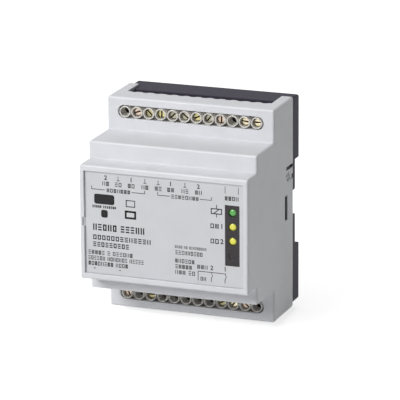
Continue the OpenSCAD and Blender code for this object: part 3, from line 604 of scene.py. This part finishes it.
def moved_details(work, place):
    """Gives each corner of the side walls a new depth and height and lays the walls' faces anew."""
    planes = set()
    for vert in work.verts:
        if abs(vert.co.x) > SIDE_START * MM:
            before = Vector((-vert.co.y / MM, vert.co.z / MM))
            after = place(before)
            if (after - before).length > CLOSE:
                planes.add(round(vert.co.x, 7))
                vert.co.y, vert.co.z = -after.x * MM, after.y * MM
    relaid(work, planes)


def side_details(work):
    """Moves the details in the cover's sides."""
    moved_details(work, lambda corner: photo_place(*corner))


def base_sides(work):
    """Moves the details and notches in the base's sides and sets what lies behind the cover in."""
    half_width = max(vert.co.x for vert in work.verts)

    def place(corner):
        if corner.x > COVER_END + CLOSE:
            return photo_place(*corner)
        for height, new_height in zip(NOTCH_FROM, NOTCH_TO):
            if abs(corner.y - height) < CLOSE:
                return Vector((corner.x, new_height))
        return corner

    moved_details(work, place)
    for vert in work.verts:
        if half_width - abs(vert.co.x) < BASE_SIDE * MM and -vert.co.y < (COVER_END + CLOSE) * MM:
            vert.co.x -= math.copysign(BASE_INSET * MM, vert.co.x)


# %% [markdown]
# The big mouldings come first. The cover's steps already carry their large radius in the model, so the
# bevel here is only the small one that every wall, window and groove leaves the tool with.

# %% Cover, base, latch and front plate
for name, edge_mm, segments, finish, reshape in (
    ("housing_cover", 0.15, 3, cover_plastic, side_details),
    ("base", 0.09, 2, base_plastic, base_sides),
    ("rail_latch", 0.2, 3, base_plastic, None),
    ("front_panel", 0.12, 3, panel_plastic, None),
    ("led_window", 0.08, 2, smoked, None),
):
    report(dressed(name, edge_mm, [finish], segments, reshape))

# %% [markdown]
# One moulding makes a whole row of terminals. Its collars reach through the cover and stay cream, while
# everything behind the cover's face is painted deep shade, except the bores, which are painted half
# shade. The skin is cut along that plane first, so that the colour changes at a clean edge.

# %% Terminal rows
COLLAR_LENGTH = 1.95
FRONT_GAP = 0.05
BORE_DEPTH = 2.8
BORE_RADIUS = 1.95
PITCH = 5.08
POLES = 12
COLLAR_PLANE = front_of("upper_terminal_block") - COLLAR_LENGTH
BLOCK_FRONT = COLLAR_PLANE - FRONT_GAP
BORE_FLOOR = BLOCK_FRONT - BORE_DEPTH
low, high = extent("upper_screw_2")
TERMINAL_Z = (low.z + high.z) / 2


def pole_axis(row, pole):
    """Where the axis of a pole's screw meets the rail's plane, in millimetres."""
    return Vector(((pole - (POLES + 1) / 2) * PITCH, 0, TERMINAL_Z if row == "upper" else -TERMINAL_Z))


def cut_at_collars(work):
    """Cuts the row's faces along the plane where the collars begin."""
    parts = work.verts[:] + work.edges[:] + work.faces[:]
    bmesh.ops.bisect_plane(work, geom=parts, plane_co=(0, -COLLAR_PLANE * MM, 0), plane_no=(0, 1, 0))


for row in ("upper", "lower"):
    axes = [pole_axis(row, pole) for pole in range(1, POLES + 1)]

    def tone(centre, axes=axes):
        """0 for the row's painted deep shade, 1 for a collar, 2 for the painted half shade in a bore."""
        depth = -centre.y
        off_axis = min(math.hypot(centre.x - axis.x, centre.z - axis.z) for axis in axes)
        on_front = BLOCK_FRONT - FRONT_GAP < depth < COLLAR_PLANE
        in_bore = off_axis < BORE_RADIUS and depth > BORE_FLOOR and not on_front
        return 2 if in_bore else int(depth > COLLAR_PLANE)

    report(dressed(
        f"{row}_terminal_block", 0.08, [row_painted_deep_shade, collar_plastic, bore_painted_half_shade],
        reshape=cut_at_collars, paint=tone,
    ))
print("terminals at", round(TERMINAL_Z, 2))

# %% [markdown]
# The screws' thread is a ridge wound along a helix, and a rule like that is what Geometry Nodes are
# for. The tree bends a spiral, sweeps a small triangle along it, thins it out towards both ends and
# gives it its finish. Its sizes are inputs, so that one tree serves any screw.

# %% Thread tree
def tree_with(name, inputs):
    """An empty Geometry Nodes tree with the given inputs, and the nodes for its two ends."""
    tree = bpy.data.node_groups.new(name, "GeometryNodeTree")
    for label, kind in inputs:
        tree.interface.new_socket(name=label, in_out="INPUT", socket_type=kind)
    tree.interface.new_socket(name="Geometry", in_out="OUTPUT", socket_type="NodeSocketGeometry")
    return tree, tree.nodes.new("NodeGroupInput"), tree.nodes.new("NodeGroupOutput")


def grown(name, tree, values, start=None):
    """A mesh object that a tree makes from these values and a start mesh, with no modifier left on it."""
    piece = shown(name, start or bpy.data.meshes.new(name))
    modifier = piece.modifiers.new("grow", "NODES")
    modifier.node_group = tree
    for item in tree.interface.items_tree:
        if item.in_out == "INPUT" and item.name in values:
            modifier[item.identifier] = values[item.name]
    return settled(piece)


def finish_tree(tree, geometry, group_in, group_out):
    """Ends a tree in Realize Instances and Set Material."""
    realize = added(tree, "GeometryNodeRealizeInstances", {"Geometry": geometry})
    paint = added(tree, "GeometryNodeSetMaterial", {
        "Geometry": realize.outputs["Geometry"], "Material": group_in.outputs["Finish"],
    })
    fill(tree, group_out, {"Geometry": paint.outputs["Geometry"]})


thread_tree, thread_in, thread_out = tree_with("screw_thread", (
    ("Turns", "NodeSocketFloat"), ("Core radius", "NodeSocketFloat"), ("Length", "NodeSocketFloat"),
    ("Ridge", "NodeSocketFloat"), ("Finish", "NodeSocketMaterial"),
))
core_radius = thread_in.outputs["Core radius"]
spiral = added(thread_tree, "GeometryNodeCurveSpiral", {
    "Resolution": 18, "Rotations": thread_in.outputs["Turns"], "Height": thread_in.outputs["Length"],
    "Start Radius": core_radius, "End Radius": core_radius,
})
normal = added(thread_tree, "GeometryNodeSetCurveNormal", {"Curve": spiral.outputs["Curve"]}, mode="Z_UP")
along = added(thread_tree, "GeometryNodeSplineParameter")
taper = added(thread_tree, "ShaderNodeFloatCurve", {"Value": along.outputs["Factor"]})
thickness_curve = taper.mapping.curves[0]
for place in (0.04, 0.96):
    thickness_curve.points.new(place, 1.0)
thickness_curve.points[0].location = (0, 0.2)
thickness_curve.points[-1].location = (1, 0.2)
taper.mapping.update()
thin = added(thread_tree, "GeometryNodeSetCurveRadius", {
    "Curve": normal.outputs["Curve"], "Radius": taper.outputs["Value"],
})
ridge = added(thread_tree, "GeometryNodeCurvePrimitiveCircle", {
    "Resolution": 3, "Radius": thread_in.outputs["Ridge"],
})
outward = added(thread_tree, "GeometryNodeTransform", {
    "Rotation": (0, 0, math.pi), "Geometry": ridge.outputs["Curve"],
})
sweep = added(thread_tree, "GeometryNodeCurveToMesh", {
    "Curve": thin.outputs["Curve"], "Profile Curve": outward.outputs["Geometry"], "Fill Caps": True,
})
finish_tree(thread_tree, sweep.outputs["Mesh"], thread_in, thread_out)
print("nodes in the thread tree", len(thread_tree.nodes))

# %% [markdown]
# Each screw keeps its turned head and its slot from the model. Its shank is slimmed to the root of the
# thread, the ridge is wound on it from the tip to just under the head, and the inside of the slot
# gets painted shade.

# %% Screws
HEAD_THICKNESS = 1.9
HEAD_FRONT = front_of("upper_screw_2")
HEAD_BACK = HEAD_FRONT - HEAD_THICKNESS
TIP = -extent("upper_screw_2")[1].y
SHANK_CORE = 1.0
SHANK_RADIUS = 1.45
ROOT_RADIUS = 1.3
THREAD_PITCH = 0.5
THREAD_GAP = 0.3
RIDGE_RADIUS = 0.19
SLOT_DEPTHS = (HEAD_BACK + 0.3, HEAD_FRONT - 0.04)
SLOT_REACH = 1.62
SCREW_EDGE = 0.05
SLACK = 0.01
SCREW_TINTS = {
    "upper": {2: "rose", 3: "olive", 4: "brass", 5: "dull", 6: "dull", 7: "brass", 8: "dull", 9: "rose",
              11: "pale", 12: "pale"},
    "lower": {1: "rose", 3: "brass", 9: "olive", 10: "pale", 11: "rose"},
}


def joined(piece, extra):
    """Adds a second piece's mesh to the first one's and removes the second."""
    offset = len(piece.data.materials)
    for finish in extra.data.materials:
        piece.data.materials.append(finish)

    def add(work):
        first = len(work.faces)
        work.from_mesh(extra.data)
        work.faces.ensure_lookup_table()
        for face in work.faces[first:]:
            face.material_index = offset
            face.smooth = False

    edit(piece.data, add)
    bpy.data.objects.remove(extra)


def screw(row, pole, tint):
    """A screw with its thread wound on, and how far the crest of the thread stands from its axis."""
    name = f"{row}_screw_{pole}"
    axis = pole_axis(row, pole)
    finish = screw_finishes[tint]

    def slim(work):
        for vert in work.verts:
            out = Vector((vert.co.x / MM - axis.x, 0, vert.co.z / MM - axis.z))
            on_shank = SHANK_CORE < out.length < SHANK_RADIUS + 2 * SLACK
            if on_shank and -vert.co.y / MM < HEAD_BACK + SLACK:
                slimmed = out * (ROOT_RADIUS / SHANK_RADIUS)
                vert.co.x = (axis.x + slimmed.x) * MM
                vert.co.z = (axis.z + slimmed.z) * MM

    def in_slot(centre):
        off_axis = Vector((centre.x - axis.x, centre.z - axis.z)).length
        return int(SLOT_DEPTHS[0] < -centre.y < SLOT_DEPTHS[1] and off_axis < SLOT_REACH)

    piece = shown(name + "_dressed", skin_of(name))
    edit(piece.data, slim)
    soften(piece, SCREW_EDGE, 2)
    length = HEAD_BACK - TIP - 2 * THREAD_GAP
    ridge_mesh = grown("ridge", thread_tree, {
        "Turns": length / THREAD_PITCH, "Core radius": ROOT_RADIUS * MM, "Length": length * MM,
        "Ridge": RIDGE_RADIUS * MM, "Finish": finish,
    })
    start = Matrix.Translation((axis.x * MM, -(TIP + THREAD_GAP) * MM, axis.z * MM))
    ridge_mesh.data.transform(start @ Matrix.Rotation(math.radians(90), 4, "X"))
    reach = max(math.hypot(v.co.x - axis.x * MM, v.co.z - axis.z * MM) for v in ridge_mesh.data.vertices)
    piece.data.materials.append(finish)
    piece.data.materials.append(slot_painted_shade)
    for face in piece.data.polygons:
        face.material_index = in_slot(face.center / MM)
    joined(piece, ridge_mesh)
    stand_in(piece, name)
    return piece, reach


for row, tints in SCREW_TINTS.items():
    for pole, tint in tints.items():
        piece, reach = screw(row, pole, tint)
report(piece)
print("thread crest", round(reach / MM, 3))

# %% [markdown]
# Behind each screw hangs its clamp cage, folded from plated strip, and under it the tinned bar that
# the wire is pressed against. Both were stamped, so their edges are only just broken.

# %% Cages and contact bars
for row, tints in SCREW_TINTS.items():
    for pole in tints:
        dressed(f"{row}_cage_{pole}", 0.07, [cage_steel])
    report(dressed(f"{row}_contact_bars", 0.05, [tinned_copper]))

# %% [markdown]
# The indicators keep the model's shape, with their normals evened, so that the dome takes a round
# highlight. The lenses stand a little behind the front plate.

# %% Indicators
for name, finish in (
    ("led_power", green_lens), ("led_channel_1", yellow_lens), ("led_channel_2", yellow_lens),
):
    report(dressed(name, 0, [finish]))

# %% [markdown]
# The latch's spring is a meander of round wire. In the model it is square, to keep its faces few. Here
# its middle line is drawn again from the same sizes and a round wire is swept along it by a tree.

# %% Latch spring
SPRING_BENDS = 6
WIRE = 0.7
low, high = extent("latch_spring")
SPRING_LOW, SPRING_TOP = low.z, high.z
SPRING_DEPTH = -(low.y + high.y) / 2
SPRING_SPAN = high.x - low.x

wire_tree, wire_in, wire_out = tree_with("round_wire", (
    ("Line", "NodeSocketGeometry"), ("Radius", "NodeSocketFloat"), ("Finish", "NodeSocketMaterial"),
))
to_curve = added(wire_tree, "GeometryNodeMeshToCurve", {"Mesh": wire_in.outputs["Line"]})
round_section = added(wire_tree, "GeometryNodeCurvePrimitiveCircle", {
    "Resolution": 12, "Radius": wire_in.outputs["Radius"],
})
wire_sweep = added(wire_tree, "GeometryNodeCurveToMesh", {
    "Curve": to_curve.outputs["Curve"], "Profile Curve": round_section.outputs["Curve"], "Fill Caps": True,
})
finish_tree(wire_tree, wire_sweep.outputs["Mesh"], wire_in, wire_out)


def wire_along(name, points, radius_mm, finish):
    """A round wire through points given in millimetres."""
    line = bpy.data.meshes.new(name)
    line.from_pydata([Vector(p) * MM for p in points], [(i, i + 1) for i in range(len(points) - 1)], [])
    piece = grown(name, wire_tree, {"Radius": radius_mm * MM, "Finish": finish}, line)
    piece.data.shade_smooth()
    piece.data.set_sharp_from_angle(angle=SHARP_ANGLE)
    return piece


step = (SPRING_TOP - SPRING_LOW - WIRE) / SPRING_BENDS
bend_middle = (SPRING_SPAN - WIRE - step) / 2
first_level = SPRING_LOW + WIRE / 2
path = [(-bend_middle, -SPRING_DEPTH, first_level)]
for bend in range(SPRING_BENDS):
    side = 1 if bend % 2 == 0 else -1
    for angle in range(-90, 91, 15):
        path.append((
            side * (bend_middle + step / 2 * math.cos(math.radians(angle))),
            -SPRING_DEPTH,
            first_level + (bend + 0.5) * step + step / 2 * math.sin(math.radians(angle)),
        ))
path.append((bend_middle, -SPRING_DEPTH, first_level + SPRING_BENDS * step))
spring = wire_along("latch_spring_dressed", path, WIRE / 2, spring_steel)
stand_in(spring, "latch_spring")
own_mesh(spring)
report(spring)

# %% [markdown]
# The print on the front plate is ink, a few hundredths of a millimetre proud. Its lines are rows of
# plain marks that spell nothing. Picking one of a few simple marks for each place on a line is a
# repeating job with a rule, so a tree does it, from a fixed seed.

# %% Print tree
INK_DEPTH = 0.03

print_tree, print_in, print_out = tree_with("row_of_marks", (
    ("Count", "NodeSocketInt"), ("Pitch", "NodeSocketFloat"), ("Mark width", "NodeSocketFloat"),
    ("Mark height", "NodeSocketFloat"), ("Stroke", "NodeSocketFloat"), ("Ink", "NodeSocketFloat"),
    ("Kinds", "NodeSocketInt"), ("Seed", "NodeSocketInt"), ("Finish", "NodeSocketMaterial"),
))


def vector_of(**sides):
    """A vector whose X, Y and Z come from sockets."""
    return added(print_tree, "ShaderNodeCombineXYZ", sides).outputs["Vector"]


def reckoned(operation, first, second):
    """The result of a Math node on a socket and a second socket or number."""
    return added(print_tree, "ShaderNodeMath", {0: first, 1: second}, operation=operation).outputs[0]


def block(size, **place):
    """A box of that size, moved along X or Z by a socket."""
    cube = added(print_tree, "GeometryNodeMeshCube", {"Size": size})
    return added(print_tree, "GeometryNodeTransform", {
        "Geometry": cube.outputs["Mesh"], "Translation": vector_of(**place),
    }).outputs["Geometry"]


def gathered(parts, kind="GeometryNodeJoinGeometry"):
    """What a node of that kind makes of parts that are all linked to its one input."""
    node = added(print_tree, kind)
    for part in parts:
        fill(print_tree, node, {"Geometry": part})
    return node.outputs[0]


width = print_in.outputs["Mark width"]
height = print_in.outputs["Mark height"]
stroke = print_in.outputs["Stroke"]
ink = print_in.outputs["Ink"]
side = reckoned("MULTIPLY", reckoned("SUBTRACT", width, stroke), 0.5)
edge = reckoned("MULTIPLY", reckoned("SUBTRACT", height, stroke), 0.5)
upright = vector_of(X=stroke, Y=ink, Z=height)
bar = vector_of(X=width, Y=ink, Z=stroke)
left_post, right_post = block(upright, X=reckoned("MULTIPLY", side, -1)), block(upright, X=side)
middle_post, middle_bar = block(upright), block(bar)
top_bar, low_bar = block(bar, Z=edge), block(bar, Z=reckoned("MULTIPLY", edge, -1))
marks = [gathered(parts) for parts in (
    (left_post, right_post, top_bar, low_bar),
    (top_bar, middle_bar, low_bar),
    (left_post, right_post),
    (left_post, middle_post, right_post),
    (left_post, middle_post, right_post, top_bar, low_bar),
)]
row_line = added(print_tree, "GeometryNodeMeshLine", {
    "Count": print_in.outputs["Count"], "Offset": vector_of(X=print_in.outputs["Pitch"]),
})
pick = added(print_tree, "FunctionNodeRandomValue", {"Seed": print_in.outputs["Seed"]}, data_type="INT")
lowest, highest = (s for s in pick.inputs if s.type == "INT" and s.name in ("Min", "Max"))
lowest.default_value = 0
print_tree.links.new(reckoned("SUBTRACT", print_in.outputs["Kinds"], 1), highest)
setting = added(print_tree, "GeometryNodeInstanceOnPoints", {
    "Pick Instance": True,
    "Points": row_line.outputs["Mesh"],
    "Instance": gathered(reversed(marks), "GeometryNodeGeometryToInstance"),
    "Instance Index": next(s for s in pick.outputs if s.type == "INT"),
})
finish_tree(print_tree, setting.outputs["Instances"], print_in, print_out)
print("kinds of marks", len(marks))

# %% [markdown]
# The layout of the print is a table: for every line of marks where it starts, how high it sits, how far
# it runs and how bold it is. Spaces part a line into words, so each word is one row of marks.

# %% Lines of print
WORD_SPACE = 0.6
MARK_SHARE = 0.74
PLAIN_KINDS = 3
STROKES_ACROSS = 3.4
ink_parts = []


def to_panel(mesh, x, z):
    """Moves a mesh drawn round the origin, facing -Y, onto the front plate and keeps it."""
    mesh.transform(Matrix.Translation(Vector((x, -PANEL_FACE, z)) * MM))
    ink_parts.append(mesh)


def line_of_marks(left, right, z, words, height_mm, stroke_mm, seed):
    """Words, given by their lengths, that fill the line. Narrow marks are of the plain kinds only."""
    pitch = (right - left) / (sum(words) + WORD_SPACE * (len(words) - 1))
    kinds = PLAIN_KINDS if STROKES_ACROSS * stroke_mm > MARK_SHARE * pitch else len(marks)
    at = left + pitch / 2
    for place, count in enumerate(words):
        piece = grown("marks", print_tree, {
            "Count": count, "Pitch": pitch * MM, "Mark width": MARK_SHARE * pitch * MM,
            "Mark height": height_mm * MM, "Stroke": stroke_mm * MM, "Ink": INK_DEPTH * MM,
            "Kinds": kinds, "Seed": seed + place, "Finish": print_ink,
        })
        to_panel(piece.data, at, z)
        bpy.data.objects.remove(piece)
        at += (count + WORD_SPACE) * pitch


for left, right, z, words, height_mm, stroke_mm, seed in (
    (-30.4, -8.1, -1.82, (5, 5), 2.65, 0.56, 3),
    (-30.4, -5.5, -6.02, (13,), 1.95, 0.42, 11),
    (-30.4, -14.8, -8.93, (9,), 1.95, 0.42, 17),
    (-32.5, -13.3, -12.35, (5, 1, 6), 1.65, 0.29, 23),
    (-32.5, -8.7, -14.67, (6, 7, 5), 1.65, 0.29, 31),
    (-32.5, -15.4, -16.95, (8, 4), 1.65, 0.29, 41),
    (-30.4, -20.2, 6.65, (5, 7), 1.05, 0.29, 47),
    (-24.3, -14.0, 13.65, (7,), 1.55, 0.29, 53),
    (3.0, 14.7, 13.7, (8,), 1.55, 0.29, 59),
    (25.3, 31.3, 15.1, (4,), 1.7, 0.32, 61),
    (4.4, 17.8, -6.6, (4, 2, 9), 1.1, 0.2, 67),
    (4.5, 16.2, -8.9, (9,), 1.65, 0.3, 71),
    (4.4, 12.8, -12.3, (6,), 1.65, 0.29, 73),
    (4.4, 11.7, -14.65, (5,), 1.6, 0.29, 79),
    (4.4, 13.0, -17.0, (3, 2), 1.65, 0.29, 83),
    (13.6, 18.3, -13.9, (3,), 1.7, 0.3, 89),
    (15.0, 17.6, -18.7, (2,), 1.55, 0.3, 97),
    (19.2, 23.1, 3.4, (2,), 1.9, 0.36, 101),
    (19.2, 23.1, -2.77, (2,), 1.9, 0.36, 103),
):
    line_of_marks(left, right, z, words, height_mm, stroke_mm, seed)
print("rows of marks", len(ink_parts))

# %% [markdown]
# Numbers are plain text turned into a mesh before it is placed. Text lies flat when it is made, so a
# quarter turn about X stands it up facing the front. Straight lines are thin boxes between two points.

# %% Numbers, lines and signs
NUMBER_SWELL = 0.06
FINE_STROKE = 0.26


def number(text, x, z, size_mm):
    """A number of ink, its strokes swollen a little."""
    curve = bpy.data.curves.new("number", "FONT")
    curve.body = text
    curve.size = size_mm * MM
    curve.align_x = "CENTER"
    curve.align_y = "CENTER"
    curve.extrude = INK_DEPTH / 2 * MM
    curve.offset = NUMBER_SWELL * MM
    curve.resolution_u = 4
    piece = shown("number", curve)
    mesh = made_mesh(piece)
    edit(mesh, lambda work: bmesh.ops.remove_doubles(work, verts=work.verts, dist=MERGE_DISTANCE))
    mesh.materials.clear()
    mesh.materials.append(print_ink)
    mesh.transform(Matrix.Rotation(math.radians(90), 4, "X"))
    to_panel(mesh, x, z)
    bpy.data.objects.remove(piece)


def outline(points):
    """A flat shape of ink from its outline in X and Z."""
    mesh = bpy.data.meshes.new("ink")
    count = len(points)
    front, back = ([Vector((x, y, z)) * MM for x, z in points] for y in (-INK_DEPTH / 2, INK_DEPTH / 2))
    rim = [(i, (i + 1) % count, count + (i + 1) % count, count + i) for i in range(count)]
    mesh.from_pydata(front + back, [], [tuple(reversed(range(count))), tuple(range(count, 2 * count))] + rim)
    edit(mesh, lambda work: bmesh.ops.recalc_face_normals(work, faces=work.faces))
    mesh.materials.append(print_ink)
    to_panel(mesh, 0, 0)


def stroke_between(x0, z0, x1, z1, thickness=FINE_STROKE):
    """A straight line of ink, its ends square."""
    along = Vector((x1 - x0, z1 - z0)).normalized() * thickness / 2
    across = Vector((-along.y, along.x))
    start = Vector((x0, z0)) - along
    end = Vector((x1, z1)) + along
    outline([tuple(start + across), tuple(start - across), tuple(end - across), tuple(end + across)])


COLUMN_X = (-24.5, -19.2, -13.7, -7.9, -2.3, 2.9, 8.9, 14.5)
TOP_MARKS = ("2", "sign", "1", "sign", "sign", "1", "sign", "2")
for index, (x, mark) in enumerate(zip(COLUMN_X, TOP_MARKS)):
    if mark == "sign":
        stroke_between(x, 19.6, x, 18.0, 0.24)
        stroke_between(x - 0.55, 17.95, x + 0.55, 17.95, 0.24)
    else:
        number(mark, x, 18.65, 2.5)
    line_of_marks(x - 1.6, x + 1.6, 16.3, (2,), 1.7, 0.3, 107 + index)

for left, right, gap_from, gap_to in ((-30.5, -8.0, -25.0, -13.4), (-2.5, 19.9, 2.4, 15.2)):
    stroke_between(left, 14.9, left, 13.7)
    stroke_between(left, 13.7, gap_from, 13.7)
    stroke_between(gap_to, 13.7, right, 13.7)
    stroke_between(right, 13.7, right, 14.9)
for x in (25.6, 31.1):
    stroke_between(x, 19.8, x, 17.1, 0.22)

for ends, thickness in (
    ((19.8, 10.4, 24.1, 10.4), 0.4), ((19.8, 8.4, 24.1, 8.4), 0.4),
    ((19.8, 10.4, 19.8, 8.4), 0.4), ((24.1, 10.4, 24.1, 8.4), 0.4),
    ((21.0, 8.6, 22.9, 10.2), 0.34),
    ((22.0, 10.6, 22.0, 12.0), 0.3), ((22.0, 8.2, 22.0, 7.1), 0.3),
):
    stroke_between(*ends, thickness)
for text, x, z, size_mm in (
    ("1", 24.2, 3.4, 2.75), ("2", 24.2, -2.77, 2.75), ("2", 19.9, -13.9, 2.5), ("1", 25.5, -13.9, 2.5),
):
    number(text, x, z, size_mm)
stroke_between(14.15, -15.7, 25.6, -15.7)
stroke_between(14.15, -15.7, 14.15, -19.5)
for x in (19.9, 25.6):
    stroke_between(x, -15.7, x, -16.5)
    stroke_between(x + 0.4, -16.8, x - 0.2, -18.2)
    stroke_between(x - 0.2, -18.2, x - 0.2, -19.5)
for x in (-29.7, -18.9):
    outline([(x - 0.4, -18.7), (x + 0.4, -18.7), (x, -19.3)])
print("ink parts", len(ink_parts))

# %% [markdown]
# The plate also carries a plain dark field with round corners, a smaller one under it and two small
# empty frames beside them. They keep the weight of the print where it belongs and say nothing.

# %% Plain fields
CORNER_STEPS = 4


def rounded_field(x, z, width_mm, height_mm, radius):
    """The outline of a rectangle with round corners."""
    points = []
    for corner, (sign_x, sign_z) in enumerate(((1, 1), (-1, 1), (-1, -1), (1, -1))):
        for part in range(CORNER_STEPS + 1):
            angle = math.radians(90 * corner + 90 / CORNER_STEPS * part)
            points.append((
                x + sign_x * (width_mm / 2 - radius) + radius * math.cos(angle),
                z + sign_z * (height_mm / 2 - radius) + radius * math.sin(angle),
            ))
    return points


def frame_of_ink(x, z, width_mm, height_mm, thickness):
    """An empty frame made of four strokes."""
    left, right = x - width_mm / 2, x + width_mm / 2
    low, high = z - height_mm / 2, z + height_mm / 2
    for level in (low, high):
        stroke_between(left, level, right, level, thickness)
    for column in (left, right):
        stroke_between(column, low, column, high, thickness)


outline(rounded_field(-25.2, 9.8, 8.6, 4.1, 0.9))
outline(rounded_field(-25.2, 3.9, 2.8, 3.2, 0.8))
frame_of_ink(-14.1, 9.0, 3.6, 2.5, 0.36)
frame_of_ink(-14.15, 4.4, 4.0, 2.6, 0.8)
print("ink parts", len(ink_parts))

# %% [markdown]
# All the ink is laid into one thin piece. It replaces nothing in the model, so it is only told which
# body carries it.

# %% Join the print
panel_print = shown("panel_print", bpy.data.meshes.new("panel_print"))


def add_ink(work):
    for mesh in ink_parts:
        work.from_mesh(mesh)


edit(panel_print.data, add_ink)
panel_print.data.materials.append(print_ink)
for face in panel_print.data.polygons:
    face.material_index = 0
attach(panel_print, "housing")
report(panel_print)

# %% [markdown]
# The boards and the components of one material keep their CAD solids, and only take a finish.

# %% Boards and plain components
for name, finish in (
    ("main_board", board_mask), ("riser_board", board_mask), ("front_board", board_mask),
    ("bridge_rectifier", epoxy_black), ("fuse", epoxy_black), ("surge_absorber", lacquer_blue),
    ("crystal", crystal_can),
):
    solid = nodes[name]
    if not solid.material_slots:
        solid.data.materials.append(finish)
    for material_slot in solid.material_slots:
        material_slot.material = finish
print("boards and plain components finished")

# %% [markdown]
# Where one solid has two materials in the real part, a dressed copy is painted by place: the top of a
# capacitor, the copper between a choke's flanges, the pins beside a chip's case. The relays have one
# material, but their cases are big enough to show rolled edges.

# %% Relays and components with two materials
CAPACITOR_HEIGHTS = {"supply_capacitor": 20, "filter_capacitor": 16}
CAPACITOR_TOP = 0.5
WINDING_DEPTHS = (8.0, BOARD_FACE + 9.2)
CHIP_MIDDLES = {"control_chip": 1, "amplifier_chip": 0}
CHIP_CASE = 3.21

for name in ("relay_1", "relay_2"):
    dressed(name, 0.3, [relay_case], segments=3)
for name, tall in CAPACITOR_HEIGHTS.items():
    top = BOARD_FACE + tall - CAPACITOR_TOP
    dressed(name, 0, [sleeve, can_top], paint=lambda centre, top=top: int(-centre.y > top))
dressed("supply_choke", 0, [ferrite, winding], paint=lambda centre: int(
    WINDING_DEPTHS[0] < -centre.y < WINDING_DEPTHS[1]
))
for name, middle in CHIP_MIDDLES.items():
    dressed(name, 0, [epoxy_black, tinned_copper], paint=lambda centre, middle=middle: int(
        abs(centre.z - middle) > CHIP_CASE
    ))
